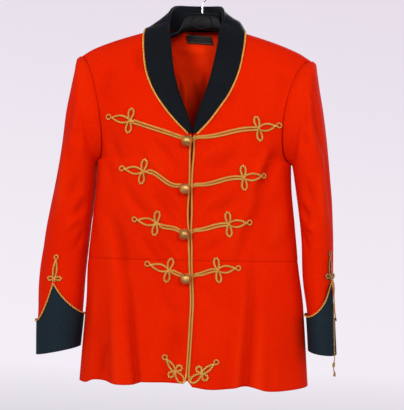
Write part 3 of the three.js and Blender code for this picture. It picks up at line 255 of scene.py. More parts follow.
# Creases of each sleeve in the same order, with degrees round it and mm above its hem as places
SLEEVE_CREASE_COLUMNS = "turn0 high0 turn1 high1 bow width height"
SLEEVE_CREASES = {
    "left": table(
        SLEEVE_CREASE_COLUMNS,
        (100, 552, 82, 440, 6, 9, -2.0), (86, 556, 70, 470, 4, 7, -1.6), (70, 556, 60, 500, 3, 6, 1.2),
        (52, 540, 40, 380, 5, 10, -2.2), (36, 420, 30, 250, -6, 10, -1.8),
        (64, 380, 60, 230, 5, 13, 1.8), (110, 390, 86, 300, 9, 12, -1.8),
        (140, 330, 104, 268, 6, 10, -2.0), (128, 262, 92, 232, -5, 9, 1.5),
        (146, 250, 118, 196, 4, 9, -1.6), (206, 420, 232, 330, 8, 13, -2.6),
        (214, 350, 250, 276, 6, 12, 2.0), (200, 300, 246, 232, -6, 12, -2.4),
        (262, 500, 280, 350, 8, 15, -2.0), (300, 420, 318, 240, -6, 14, 1.8),
        (330, 330, 340, 160, 5, 12, -1.6), (20, 200, 24, 80, 4, 12, 1.2),
        (276, 540, 262, 470, 4, 8, -1.6), (296, 548, 300, 480, 3, 8, 1.2),
    ),
    "right": table(
        SLEEVE_CREASE_COLUMNS,
        (96, 556, 84, 452, 5, 9, -1.4), (60, 548, 52, 420, 5, 10, -1.6),
        (40, 470, 34, 300, -5, 12, -1.8), (66, 420, 62, 250, 6, 14, 1.6),
        (112, 410, 84, 318, 9, 12, -1.6), (142, 352, 108, 280, 6, 11, -2.0),
        (132, 290, 96, 246, -5, 9, 1.4), (150, 262, 120, 200, 4, 9, -1.5),
        (204, 430, 236, 336, 8, 13, -2.4), (212, 356, 252, 280, 6, 12, 1.8),
        (198, 306, 244, 236, -6, 12, -2.2), (258, 510, 276, 360, 8, 15, -1.8),
        (304, 430, 320, 260, -6, 14, 1.6), (332, 340, 342, 170, 5, 12, -1.5),
        (18, 210, 22, 90, 4, 12, 1.2), (278, 540, 266, 470, 4, 8, -1.4),
        (298, 548, 302, 480, 3, 8, 1.1),
    ),
}


def lerp(a, b, t):
    """A straight blend from a to b."""
    return a + (b - a) * t


def smooth(t):
    """An ease from 0 to 1 with level ends."""
    t = np.clip(t, 0, 1)
    return t * t * (3 - 2 * t)


def bell(distance):
    """1 at 0, falling off evenly both ways."""
    return np.exp(-np.square(distance))


def unit(vectors):
    """Vectors brought to length 1 along the last axis."""
    return vectors / np.maximum(np.linalg.norm(vectors, axis=-1, keepdims=True), 1e-9)


def turns_of(count):
    """Angles of so many points spread evenly round a circle."""
    return 2 * np.pi * np.arange(count) / count


def stack(x, y, z):
    """Three arrays broadcast together as points."""
    return np.stack(np.broadcast_arrays(np.asarray(x, float), y, z), axis=-1)


def read(rows, key, column, at):
    """A column of a table at any place between its rows, as a smooth cubic that keeps to their rise."""
    keys, values = rows[key], rows[column]
    count = np.arange(len(keys))
    before, after = np.maximum(count - 1, 0), np.minimum(count + 1, len(keys) - 1)
    slope = (values[after] - values[before]) / (keys[after] - keys[before])
    place = np.clip(at, keys[0], keys[-1])
    i = np.clip(np.searchsorted(keys, place) - 1, 0, len(keys) - 2)
    span = keys[i + 1] - keys[i]
    t = (place - keys[i]) / span
    bend = t * (1 - t) * span * ((1 - t) * slope[i] - t * slope[i + 1])
    return lerp(values[i], values[i + 1], smooth(t)) + bend


def to_part(points):
    """Points of the coat's frame, in millimetres, as points of the part's frame, in metres."""
    return (np.asarray(points) - HOOK_AXIS) * MM


def hang(points, swings=True):
    """The even coat's points where they hang: one shoulder lower, the opening moved aside and the
    skirts swung towards the wearer's left. Sleeves don't swing."""
    moved = np.array(points, dtype=float)
    x, drop = moved[..., 0].copy(), -moved[..., 2]
    inside = 1 - np.minimum(1, np.square(x / 190))
    tilt = SHOULDER_TILT * (1 - smooth((drop - SHOULDER["drop"]) / 350))
    swing = SKIRT_SWING * smooth((drop - WAIST_DROP) / 90) if swings else 0
    moved[..., 2] -= tilt * x
    moved[..., 0] += read(OPENING_SHIFT, "drop", "shift", drop) * inside * inside + swing
    return moved


# Shape of the coat


def armhole(angle, face):
    """A point of the armhole's edge: an ellipse from the shoulder (0) to the armpit (half a turn),
    scooped in towards the neck."""
    depth, scoop = ARMHOLE[face]
    down = (1 - np.cos(angle)) / 2
    x = lerp(SHOULDER["x"], UNDERARM["x"], down) - scoop * np.sin(angle)
    y = lerp(SHOULDER["y"], UNDERARM["y"], down) + depth * np.sin(angle)
    return x, y, lerp(SHOULDER["drop"], UNDERARM["drop"], down)


def panel_end(face, drop):
    """x, y and turn where a panel ends at its outer side: on the shoulder's top line, the armhole
    or the side seam."""
    drop = np.asarray(drop, dtype=float)
    ridge = read(RIDGE, "drop", "x", drop)
    middle = (SHOULDER["drop"] + UNDERARM["drop"]) / 2
    half = (UNDERARM["drop"] - SHOULDER["drop"]) / 2
    angle = np.arccos(np.clip((middle - drop) / half, -1, 1))
    arm_x, arm_y, _ = armhole(angle, face)
    above, beside = drop <= SHOULDER["drop"], drop < UNDERARM["drop"]
    ridge_y = lerp(9, SHOULDER["y"], (ridge - NECK_X) / (SHOULDER["x"] - NECK_X))
    x = np.where(above, ridge, np.where(beside, arm_x, read(SIDE, "drop", "x", drop)))
    y = np.where(above, ridge_y, np.where(beside, arm_y, UNDERARM["y"]))
    turn = np.where(above | ~beside, np.pi / 2, np.pi / 2 - 0.5 * np.sin(angle))
    return x, y, turn


def fold_depth(face, x, drop):
    """The skirt's soft folds: bells that widen and deepen from the waist to the hem."""
    down = np.clip((drop - WAIST_DROP + 30) / (HEM_DROP - WAIST_DROP + 30), 0, 1)
    total = 0.0
    for waist, hem, depth, width in zip(*SKIRT_FOLDS[face].values()):
        total = total + depth * down**1.4 * bell((x - lerp(waist, hem, down)) / width)
    return total


def section_reach(face, drop):
    """How far a section would reach if it went on rounding to a quarter turn."""
    x, _, turn = panel_end(face, drop)
    return x / np.sin(turn) ** (2 / FLATNESS)


def surface_y(face, x, drop):
    """The cloth's outer face as a depth over x and drop: a superellipse section from the middle of
    the front or back to the panel's end, with the skirt's folds on it."""
    end_x, end_y, turn = panel_end(face, drop)
    middle = read(TORSO, "drop", face, drop)
    reach = section_reach(face, drop)
    depth = (end_y - middle) / (1 - np.maximum(np.cos(turn), 0) ** (2 / FLATNESS))
    across = np.clip(np.abs(x) / reach, 0, 1)
    fall = 1 - (1 - across**FLATNESS) ** (1 / FLATNESS)
    in_from_side = smooth((end_x - np.abs(x)) / 40)
    return middle + depth * fall + OUTWARD[face] * fold_depth(face, x, drop) * in_from_side


def crease_sum(rows, u, v):
    """Creases over two coordinates: each is a bell across a bowed line, tapered to
    nothing at both ends, with a fainter return of the other sign beside it."""
    total = np.zeros(np.broadcast(u, v).shape)
    for u0, v0, u1, v1, bow, width, height in zip(*rows.values()):
        length = np.hypot(u1 - u0, v1 - v0)
        along = ((u - u0) * (u1 - u0) + (v - v0) * (v1 - v0)) / length**2
        across = ((v - v0) * (u1 - u0) - (u - u0) * (v1 - v0)) / length
        taper = np.clip(4 * along * (1 - along), 0, 1) ** 1.3
        place = (across - bow * taper) / width
        total += height * taper * (bell(place) - 0.4 * bell((place - 1.9) / 1.2))
    return total


def slack(u, v, scale):
    """The slight unevenness of hung wool: a few slow waves that cross each other."""
    return 0.42 * scale * (
        np.sin(u / 37 + 1.7 * np.sin(v / 83))
        + np.sin(v / 59 - 1.3 * np.sin(u / 61 + 0.8))
        + 0.6 * np.sin(u / 19 + v / 43 + 2.1)
    )


def relief(face, x, drop):
    """How far the cloth stands off its plain form: creases, slack, and a dip along the waist seam."""
    end_x, _, _ = panel_end(face, drop)
    waist = -0.6 * bell((drop - WAIST_DROP) / 4)
    seam = smooth((end_x - np.abs(x)) / 14)
    middle = smooth((np.abs(x) - 1) / 14) if face == "front" else 1
    creases = FOLD_STRENGTH * crease_sum(CREASES[face], x, drop)
    return waist + seam * (0.35 + 0.65 * middle) * (creases + slack(x, drop, 1))


def on_panel(face, x, drop, lift=0.0):
    """Points over the cloth of a panel and the way out of it, for what lies on it."""
    step = 1.5
    y = surface_y(face, x, drop)
    along_x = (surface_y(face, x + step, drop) - surface_y(face, x - step, drop)) / (2 * step)
    along_z = -(surface_y(face, x, drop + step) - surface_y(face, x, drop - step)) / (2 * step)
    normal = OUTWARD[face] * unit(stack(-along_x, 1.0, -along_z))
    height = np.asarray(relief(face, x, drop) + lift)
    return stack(x, y, -np.asarray(drop)) + normal * height[..., None], normal


def outer_length(wearer):
    """How far a sleeve's outer line runs from its first ring to its hem."""
    drops = SLEEVE[wearer]["outer_drop"]
    return drops[-1] - drops[0]


def sleeve_length(wearer):
    """A sleeve's whole length, with the stretch between the armhole and its first ring."""
    return outer_length(wearer) / (1 - RING_SHARE)


for sleeve_rows in SLEEVE.values():
    drops = sleeve_rows["outer_drop"]
    sleeve_rows["along"] = lerp(RING_SHARE, 1, (drops - drops[0]) / np.ptp(drops))


def sleeve_point(wearer, along, turn):
    """A sleeve's plain outer face: rings read from the table, joined to the armhole's edge."""
    along, turn = np.broadcast_arrays(np.asarray(along, float), np.asarray(turn, float))
    rows = SLEEVE[wearer]
    at = np.maximum(along, RING_SHARE)
    outer_x, outer_drop, inner_x, inner_drop, front, back = (
        read(rows, "along", column, at) for column in SLEEVE_COLUMNS.split()
    )
    outer_share, across = (1 + np.cos(turn)) / 2, np.sin(turn)
    y = (front + back) / 2 - (back - front) / 2 * np.sign(across) * np.abs(across) ** 0.9
    ring = stack(lerp(inner_x, outer_x, outer_share), y, -lerp(inner_drop, outer_drop, outer_share))
    wrapped = np.mod(turn, 2 * np.pi)
    is_front = wrapped <= np.pi
    angle = np.where(is_front, wrapped, 2 * np.pi - wrapped)
    edges = [np.where(is_front, f, b) for f, b in zip(armhole(angle, "front"), armhole(angle, "back"))]
    start = stack(edges[0] + SEAM + 0.1 + 0.8 * (1 - np.cos(wrapped)) / 2, edges[1], -edges[2])
    share = np.clip(along / RING_SHARE, 0, 1)[..., None]
    point = lerp(start, ring, share)
    point[..., 0] *= SIGN[wearer]
    return point


def sleeve_relief(wearer, along, turn):
    """Creases and slack of a sleeve over its angle and its height above the hem, with the head's
    fullness standing up from the armhole seam."""
    degrees = np.degrees(np.mod(turn, 2 * np.pi))
    high = (1 - along) * sleeve_length(wearer)
    round_mm = degrees * ROUND_ARM
    rows = dict(SLEEVE_CREASES[wearer])
    rows["turn0"], rows["turn1"] = rows["turn0"] * ROUND_ARM, rows["turn1"] * ROUND_ARM
    creases = crease_sum(rows, round_mm, high)
    from_seam = along * sleeve_length(wearer)
    upper = np.clip(np.cos(turn) * 0.5 + 0.62, 0, 1)
    head = HEAD_FULLNESS * upper * (smooth(from_seam / 9) - smooth((from_seam - 10) / 34))
    pucker = HEAD_PUCKER * np.sin(degrees * 0.47 + 2 * np.sin(degrees * 0.11)) * upper
    pucker = pucker * smooth(from_seam / 8) * (1 - smooth((from_seam - 16) / 34))
    body_side = 1 - 0.7 * bell((degrees - 180) / 34)
    fade = smooth(from_seam / 20) * smooth((high + 40) / 60)
    return head + pucker + fade * body_side * (FOLD_STRENGTH * creases + slack(round_mm * 1.1, high, 0.8))


def on_sleeve(wearer, along, turn, lift=0.0):
    """Points over a sleeve's cloth and the way out of it."""
    step = 0.004
    along, turn = np.broadcast_arrays(np.asarray(along, float), np.asarray(turn, float))
    ahead, behind = np.clip(along + step, 0, 1), np.clip(along - step, 0, 1)
    down = sleeve_point(wearer, ahead, turn) - sleeve_point(wearer, behind, turn)
    round_way = sleeve_point(wearer, along, turn + step * 4) - sleeve_point(wearer, along, turn - step * 4)
    normal = unit(np.cross(round_way, down)) * SIGN[wearer]
    height = np.asarray(sleeve_relief(wearer, along, turn) + lift)
    return sleeve_point(wearer, along, turn) + normal * height[..., None], normal


def cuff_height(wearer, turn):
    """Height of a cuff above the hem: low all round, with one tall point that falls away in curves."""
    cuff = CUFF[wearer]
    at = np.radians(cuff["at"])
    ahead = np.mod(turn - at, 2 * np.pi)
    away = np.minimum(ahead, 2 * np.pi - ahead)
    inner, outer = cuff["inner"], cuff["outer"]
    low_side, spread, power = (np.where(ahead < np.pi, i, o) for i, o in zip(inner, outer))
    low = lerp(low_side, (inner[0] + outer[0]) / 2, smooth(away / np.pi))
    return lerp(low, cuff["point"], np.clip(1 - away / np.radians(spread), 0, 1) ** power)


# Mesh making


def make_object(name, points, faces, material, corner_uv=None, **attributes):
    """A smooth mesh object from points in millimetres of the coat's frame."""
    mesh = bpy.data.meshes.new(name)
    mesh.from_pydata(to_part(points).reshape(-1, 3).tolist(), [], faces)
    mesh.polygons.foreach_set("use_smooth", np.ones(len(mesh.polygons), dtype=bool))
    if corner_uv is not None:
        layer = mesh.uv_layers.new(name="along")
        layer.data.foreach_set("uv", np.asarray(corner_uv, dtype=np.float32).ravel())
    for key, values in attributes.items():
        layer = mesh.attributes.new(key, "FLOAT", "POINT")
        layer.data.foreach_set("value", np.asarray(values, dtype=np.float32).ravel())
    mesh.materials.append(material)
    piece = bpy.data.objects.new(name, mesh)
    bpy.context.scene.collection.objects.link(piece)
    return piece


def place(piece, slot, *nodes):
    """Rides a piece on the part's one body, in place of its CAD nodes."""
    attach(piece, "root")
    if nodes:
        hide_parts(*nodes)
    return piece


def neighbours(grid, axis, loop):
    """The next and the last point of each point of a grid along an axis."""
    if loop:
        return np.roll(grid, -1, axis), np.roll(grid, 1, axis)
    count = grid.shape[axis]
    k = np.arange(count)
    return np.take(grid, np.minimum(k + 1, count - 1), axis), np.take(grid, np.maximum(k - 1, 0), axis)


def grid_normals(grid, loop=False):
    """A grid's normals: the way across its columns times the way down its rows."""
    right, left = neighbours(grid, 1, loop)
    below, above = neighbours(grid, 0, False)
    return unit(np.cross(right - left, below - above))


def arc_lengths(grid, axis):
    """Mean distance run along an axis of a grid, from 0."""
    steps = np.linalg.norm(np.diff(grid, axis=axis), axis=-1).mean(axis=1 - axis)
    return np.concatenate([[0.0], np.cumsum(steps)])


def grid_quads(rows, columns, rows_close=False, columns_close=True):
    """Four-sided faces over a grid of points counted row by row. Where a way closes, its last
    points are joined to its first."""
    i, j = np.meshgrid(
        np.arange(rows if rows_close else rows - 1),
        np.arange(columns if columns_close else columns - 1),
        indexing="ij",
    )
    here, below, after = i * columns, (i + 1) % rows * columns, (j + 1) % columns
    return np.stack([here + j, here + after, below + after, below + j], axis=-1).reshape(-1, 4)


TURNED = [0, 3, 2, 1]  # a face's corners in the order that turns it over


def capped_faces(rows, columns, turned=False):
    """Faces of a tube whose rings are counted one after another, with a flat face at each end."""
    quads, ring = grid_quads(rows, columns), np.arange(columns)
    ends = [ring[::-1], ring + (rows - 1) * columns]
    if turned:
        quads, ends = quads[:, TURNED], [end[::-1] for end in ends]
    return quads.tolist() + [end.tolist() for end in ends]


def shell(name, grid, thickness, material, sign, loop=False, bulge=0.0, limit=None, seam=None, fold=None):
    """A closed wall of cloth. The grid is its outer face, an inner face is moved in along the
    normals by the thickness, and each border is closed by a rim whose middle line stands out by
    bulge times the thickness. seam is each point's distance from a construction seam, and fold how
    far it stands off the plain form."""
    rows, columns = grid.shape[:2]
    inner = grid - sign * grid_normals(grid, loop) * thickness
    if limit is not None:
        inner = limit(inner)
    layer = rows * columns
    face = grid_quads(rows, columns, columns_close=loop)
    i, j = np.divmod(face[:, 0], columns)
    u, v = arc_lengths(grid, 1), arc_lengths(grid, 0)
    if loop:
        u = np.append(u, u[-1] + (u[1] - u[0]))
    places = ((0, 0), (1, 0), (1, 1), (0, 1))
    corner = np.stack([np.stack([u[j + right], v[i + down]], -1) for right, down in places], axis=1)
    points = [grid.reshape(-1, 3), inner.reshape(-1, 3)]
    quads = [face, face[:, ::-1] + layer]
    corners = [corner, corner[:, ::-1]]

    def rim(line, out_way, closed, line_uv, turned):
        """Two rows of quads between a border of the outer face and the same border of the inner."""
        first_new, count = sum(map(len, points)), len(line)
        points.append((points[0][line] + points[1][line]) / 2 + out_way * bulge * thickness)
        middle = first_new + np.arange(count)
        steps = np.arange(count if closed else count - 1)
        following = (steps + 1) % count
        for first, second in ((line, middle), (middle, line + layer)):
            strip = np.stack([first[steps], first[following], second[following], second[steps]], axis=-1)
            uv = line_uv[np.stack([steps, following, following, steps], axis=1)]
            quads.append(strip[:, ::-1] if turned else strip)
            corners.append(uv[:, ::-1] if turned else uv)

    index = np.arange(layer).reshape(rows, columns)
    uv = np.stack(np.meshgrid(u[:columns], v), axis=-1)
    rim(index[0], unit(grid[0] - grid[1]), loop, uv[0], True)
    rim(index[-1], unit(grid[-1] - grid[-2]), loop, uv[-1], False)
    if not loop:
        rim(index[:, 0], unit(grid[:, 0] - grid[:, 1]), False, uv[:, 0], False)
        rim(index[:, -1], unit(grid[:, -1] - grid[:, -2]), False, uv[:, -1], True)
        points, quads = close_corners(points, quads, rows, columns, layer)
    points, faces = np.concatenate(points), np.concatenate(quads)
    corner_uv = np.concatenate(corners) * MM
    if sign < 0:
        faces, corner_uv = faces[:, ::-1], corner_uv[:, ::-1]

    def on_faces(values, elsewhere):
        """A number for each point: the grid's on both faces, another on the rims."""
        every = np.full(len(points), elsewhere)
        if values is not None:
            every[:layer] = every[layer : 2 * layer] = np.broadcast_to(values, (rows, columns)).ravel()
        return every

    attributes = {"seam": on_faces(seam, FAR_OFF), "fold": on_faces(fold, 0.0)}
    return make_object(name, points, faces.tolist(), material, corner_uv, **attributes)


def close_corners(points, quads, rows, columns, layer):
    """Makes the four rims of an open wall share the middle point of each corner."""
    top, bottom = 2 * layer, 2 * layer + columns
    left, right = bottom + columns, bottom + columns + rows
    same = {left: top, left + rows - 1: bottom}
    same |= {right: top + columns - 1, right + rows - 1: bottom + columns - 1}
    keep = np.array([k not in same for k in range(right + rows)])
    number = np.cumsum(keep) - 1
    for gone, kept in same.items():
        number[gone] = number[kept]
    return [np.concatenate(points)[keep]], [number[q] for q in quads]


def panel_grid(face, drops, from_x, side, hem=False, nape=False):
    """A panel's outer face: rows at drops, columns spaced by the section's angle from from_x to
    the panel's end. Returns it with its relief, the height by which it then moves off its plain
    form. hem bends the last rows to the hem, and nape the first to the neck."""
    drop = np.asarray(drops, dtype=float)[:, None]
    t = np.linspace(0, 1, PANEL_COLUMNS)[None, :]
    _, _, turn = panel_end(face, drop)
    reach = section_reach(face, drop)
    start = np.arcsin(np.clip(np.asarray(from_x).reshape(-1, 1) / reach, 0, 1) ** (FLATNESS / 2))
    x = side * reach * np.sin(lerp(start, turn, t)) ** (2 / FLATNESS)
    at = np.broadcast_to(drop, x.shape)
    if hem:
        at = with_hem(x, at)
    y = surface_y(face, x, drop) + np.where(t == 1, OUTWARD[face] * SEAM / 2, 0)
    height = relief(face, x, at)
    if nape:
        rise = np.clip((NAPE_DROP + 8 - drop) / 9, 0, 1) * (NAPE_DROP - drop[0])
        at = at + rise * (1 - t * t)
    return stack(x, y, -at), height


def with_hem(x, drop):
    """Skirt rows stretched so that the last one follows the hem, with the front corners rounded."""
    corner = 9
    across = np.clip((np.abs(x) - 1) / corner, 0, 1)
    lift = corner * (1 - np.sqrt(1 - np.square(1 - across)))
    target = read(HEM, "x", "drop", x) - lift
    share = smooth((drop - 690) / (HEM_DROP - 690))
    return drop + share * (target - HEM_DROP)


def facing(grid, way, loop=False):
    """1 if a grid's own normals go a given way, and -1 if they go against it."""
    return np.sign((grid_normals(grid, loop) * way).sum())


def raised(grid, height, sign, loop=False):
    """A grid moved along its own normals by a height."""
    return grid + sign * grid_normals(grid, loop) * height[..., None]


def spaced(start, end, step):
    """Even levels from start to end, about a step apart."""
    return np.linspace(start, end, int(round((end - start) / step)) + 1)


BODICE_DROPS = np.concatenate([
    spaced(91, SHOULDER["drop"], 3.0)[:-1],
    spaced(SHOULDER["drop"], UNDERARM["drop"], 3.5)[:-1],
    spaced(UNDERARM["drop"], WAIST_DROP - 0.05, ROW_SPACING),
])
SKIRT_DROPS = spaced(WAIST_DROP + 0.05, HEM_DROP, ROW_SPACING)


def held_at_seam(seam_y, nearer):
    """A limit on a panel's inner face, so that it doesn't pass the side seam: nearer takes the
    one of two depths that lies on the cloth's side."""
    return lambda inner: stack(inner[..., 0], nearer(inner[..., 1], seam_y), inner[..., 2])


def build_front(wearer, part, drops, hem, material):
    """One front panel, from its edge at the neck and opening to the shoulder, armhole and side."""
    edge = read(FRONT_EDGE, "drop", "x", drops)
    grid, height = panel_grid("front", drops, edge, SIGN[wearer], hem=hem)
    sign = facing(grid, FORWARDS)
    grid = raised(grid, height, sign)
    limit = held_at_seam(grid[:, -1:, 1], np.minimum)
    grid = hang(grid)
    from_side = np.linalg.norm(grid - grid[:, -1:], axis=-1)
    return shell(f"{part}_{wearer}_cloth", grid, CLOTH, material, sign, bulge=0.25, limit=limit,
                 seam=from_side, fold=height)


def build_back(name, drops, nape, material):
    """A back panel, from side to side, with curved seams that run from the armholes to the waist."""
    halves = [panel_grid("back", drops, np.zeros(len(drops)), side, nape=nape) for side in (1, -1)]
    grid, height = (np.concatenate([left[:, ::-1], right[:, 1:]], axis=1) for left, right in zip(*halves))
    if drops[-1] > WAIST_DROP + 50:
        grid = hem_back(grid)
    sign = facing(grid, BACKWARDS)
    seam = side_body_seam(grid[..., 0], -grid[..., 2])
    grid = raised(grid, height, sign)
    limit = held_at_seam(grid[:, :1, 1], np.maximum)
    return shell(name + "_cloth", hang(grid), CLOTH, material, sign, bulge=0.25, limit=limit,
                 seam=seam, fold=height)


def hem_back(grid):
    """The back's hem waves a little with its folds."""
    x, drop = grid[..., 0], -grid[..., 2]
    wave = 1.2 * np.sin(x / 31 + 0.6) - 1.0
    moved = grid.copy()
    moved[..., 2] = -(drop + smooth((drop - 700) / (HEM_DROP - 700)) * wave * (1 - np.square(x / 222)))
    return moved


def side_body_seam(x, drop):
    """Signed distance to the back's curved seams, far away above where they meet the armholes."""
    distance = np.abs(x) - read(SIDE_BODY, "drop", "x", drop)
    return np.where(drop < SIDE_BODY["drop"][0], FAR_OFF, distance)


def build_sleeve(wearer, material):
    """One sleeve as a tube from the armhole to its hem, with a seam down the back of the arm."""
    columns, seam_at = 104, 236
    along = np.concatenate([np.linspace(0, 0.1, 22)[:-1], np.linspace(0.1, 1, 140)])[:, None]
    turn = turns_of(columns)[None, :]
    grid = sleeve_point(wearer, along, turn)
    outwards = grid - grid.mean(axis=1, keepdims=True)
    sign = facing(grid, outwards, True)
    height = sleeve_relief(wearer, along, turn)
    grid = raised(grid, height, sign, True)
    seam = (np.degrees(turn) - seam_at) * ROUND_ARM
    return shell(f"sleeve_{wearer}_cloth", hang(grid, False), CLOTH, material, sign, loop=True,
                 bulge=0.25, seam=seam, fold=height)


CUFF_LIFT = 1.3 + FACING  # from the sleeve's outer face to the cuff's


def build_cuff(wearer, material):
    """A cuff laid round the sleeve's end, from the hem up to its pointed edge."""
    columns, rows = 128, 30
    turn = (np.radians(CUFF[wearer]["at"]) + turns_of(columns))[None, :]
    level = np.linspace(1, 0, rows)[:, None]
    along = 1.001 - level * cuff_height(wearer, turn) / sleeve_length(wearer)
    grid, normals = on_sleeve(wearer, along, turn, CUFF_LIFT)
    sign = facing(grid, normals, True)
    return shell(f"cuff_{wearer}_cloth", hang(grid, False), FACING, material, sign, loop=True, bulge=0.3)


# The roll collar


def collar_point(along, name):
    """A named line of the collar, its fold or its edge, at places from the nape to the break."""
    return stack(*(read(COLLAR, "along", f"{name}_{axis}", along) for axis in ("x", "y")),
                 -read(COLLAR, "along", f"{name}_drop", along))


def clear_coat(points, clearance):
    """Points in or near the coat's shoulders moved out of them, back or up, by a clearance. The
    height of the coat at each is found by halving between its top line and well below it."""
    p = points.copy()
    x, y, drop = p[..., 0], p[..., 1], -p[..., 2]
    back_y = surface_y("back", x, np.maximum(drop, NAPE_DROP)) + clearance
    p[..., 1] = np.where(y > 20, np.maximum(y, back_y), y)
    y = p[..., 1]
    high, low = read(RIDGE, "x", "drop", np.abs(x)), np.full(x.shape, 300.0)
    for _ in range(24):
        middle = (high + low) / 2
        front, back = surface_y("front", x, middle) < y, surface_y("back", x, middle) > y
        outside = np.where(y < 5, front, back)
        low, high = np.where(outside, middle, low), np.where(outside, high, middle)
    p[..., 2] = np.where(y < 45, np.maximum(p[..., 2], -high + 1.35 * clearance), p[..., 2])
    return p


def collar_sections(along, side):
    """Sections of the collar at places along it, as control points: up inside the neck, over the
    fold and down outside to the edge."""
    along = np.asarray(along, dtype=float)
    fold, edge = collar_point(along, "fold"), collar_point(along, "edge")
    lapel = smooth((along - 0.36) / 0.14)[:, None]
    shoulder = 1.8 * (1 - smooth((along - 0.45) / 0.2))
    near, far = COLLAR_LIFT["fold"] + shoulder, COLLAR_LIFT["edge"] + shoulder
    before, after = np.maximum(along - 0.02, 0), np.minimum(along + 0.02, 1)
    way = collar_point(after, "fold") - collar_point(before, "fold")
    away = unit(np.cross(unit(way), edge - fold))
    fullness = COLLAR_FULLNESS["left" if side > 0 else "right"]

    def on_cloth(points, lift):
        return on_panel("front", points[..., 0], -points[..., 2], lift)[0]

    def outside(t):
        spine = lerp(fold, edge, t)
        lift = lerp(near, far, t)
        free = spine + away * lerp(fullness, COLLAR_FULLNESS["lapel"], lapel) * np.sin(np.pi * t * t)
        free = clear_coat(free, lift)
        return lerp(free, on_cloth(spine, lift), lapel)

    around = np.clip(along / 0.33, 0, 1)
    past = np.clip(along - 0.33, 0, 1)
    neck_seam = stack(56 * np.sin(around * np.pi / 2), lerp(44.2, 8, around**2.2),
                      -lerp(NAPE_DROP + 3, 93.5, around * around))
    depth = lerp(0, 9, lapel[:, 0])
    inside = on_cloth(fold + stack(3 + depth * 0.6, 0, -depth * 0.4), -(CLOTH + 2.6))
    front_seam = stack(54.0, -8 - 40 * past, -96 - 140 * past)
    seam = lerp(lerp(neck_seam, front_seam, smooth(past / 0.08)[:, None]), inside, lapel)
    stand = lerp(seam, fold, 0.5)
    stand = lerp(stand, on_cloth(fold + [2.5, 0, 0], -(CLOTH + 2.3)), lapel)
    top = lerp(fold, on_cloth(fold + [-1.2, 0, 0], -0.8), lapel)
    points = np.stack([seam, stand, top, outside(0.12), outside(0.4), outside(0.7), outside(1.0)], axis=1)
    points[..., 0] *= side
    return points


def through(points, steps, axis=0):
    """A smooth curve through points along an axis, as a Catmull-Rom spline read at steps."""
    p = np.moveaxis(points, axis, 0)
    last = len(p) - 1
    i = np.clip(np.floor(steps).astype(int), 0, last - 1)
    t = (steps - i).reshape((-1,) + (1,) * (p.ndim - 1))
    a, b, c, d = p[np.maximum(i - 1, 0)], p[i], p[i + 1], p[np.minimum(i + 2, last)]
    curve = 0.5 * (2 * b + (c - a) * t + (2 * a - 5 * b + 4 * c - d) * t**2 + (3 * b - a - 3 * c + d) * t**3)
    return np.moveaxis(curve, 0, axis)


def build_collar(material):
    """The roll collar as one wall from break to break round the neck."""
    half = np.linspace(0, 1, 130)
    sections = np.concatenate([collar_sections(half[::-1], 1), collar_sections(half[1:], -1)])
    steps = np.concatenate([np.linspace(0, 2, 9)[:-1], np.linspace(2, 3, 7)[:-1], np.linspace(3, 6, 20)])
    grid = through(sections, steps, axis=1)
    roll = 0.5 * np.sin(np.arange(len(grid)) / 9.0)[:, None] * np.sin(np.pi * np.clip((steps - 3) / 3, 0, 1))
    grid = raised(grid, roll, -1)
    return shell("collar_cloth", hang(grid), FACING, material, -1, bulge=0.3)


# Twisted cord


def run_along(line):
    """How far along a line each of its points lies."""
    return np.concatenate([[0], np.cumsum(np.linalg.norm(np.diff(line, axis=0), axis=1))])


def resampled(route, up, step, closed):
    """A route and its up directions, one for all or one for each point, at even distances along it."""
    up = np.broadcast_to(up, route.shape)
    if closed:
        route, up = np.vstack([route, route[:1]]), np.vstack([up, up[:1]])
    run = run_along(route)
    count = max(int(run[-1] / step), 6)
    at = np.linspace(0, run[-1], count + 1)
    if closed:
        at = at[:-1]
    points = np.stack([np.interp(at, run, route[:, k]) for k in range(3)], axis=1)
    ups = np.stack([np.interp(at, run, up[:, k]) for k in range(3)], axis=1)
    return points, unit(ups), at, run[-1]


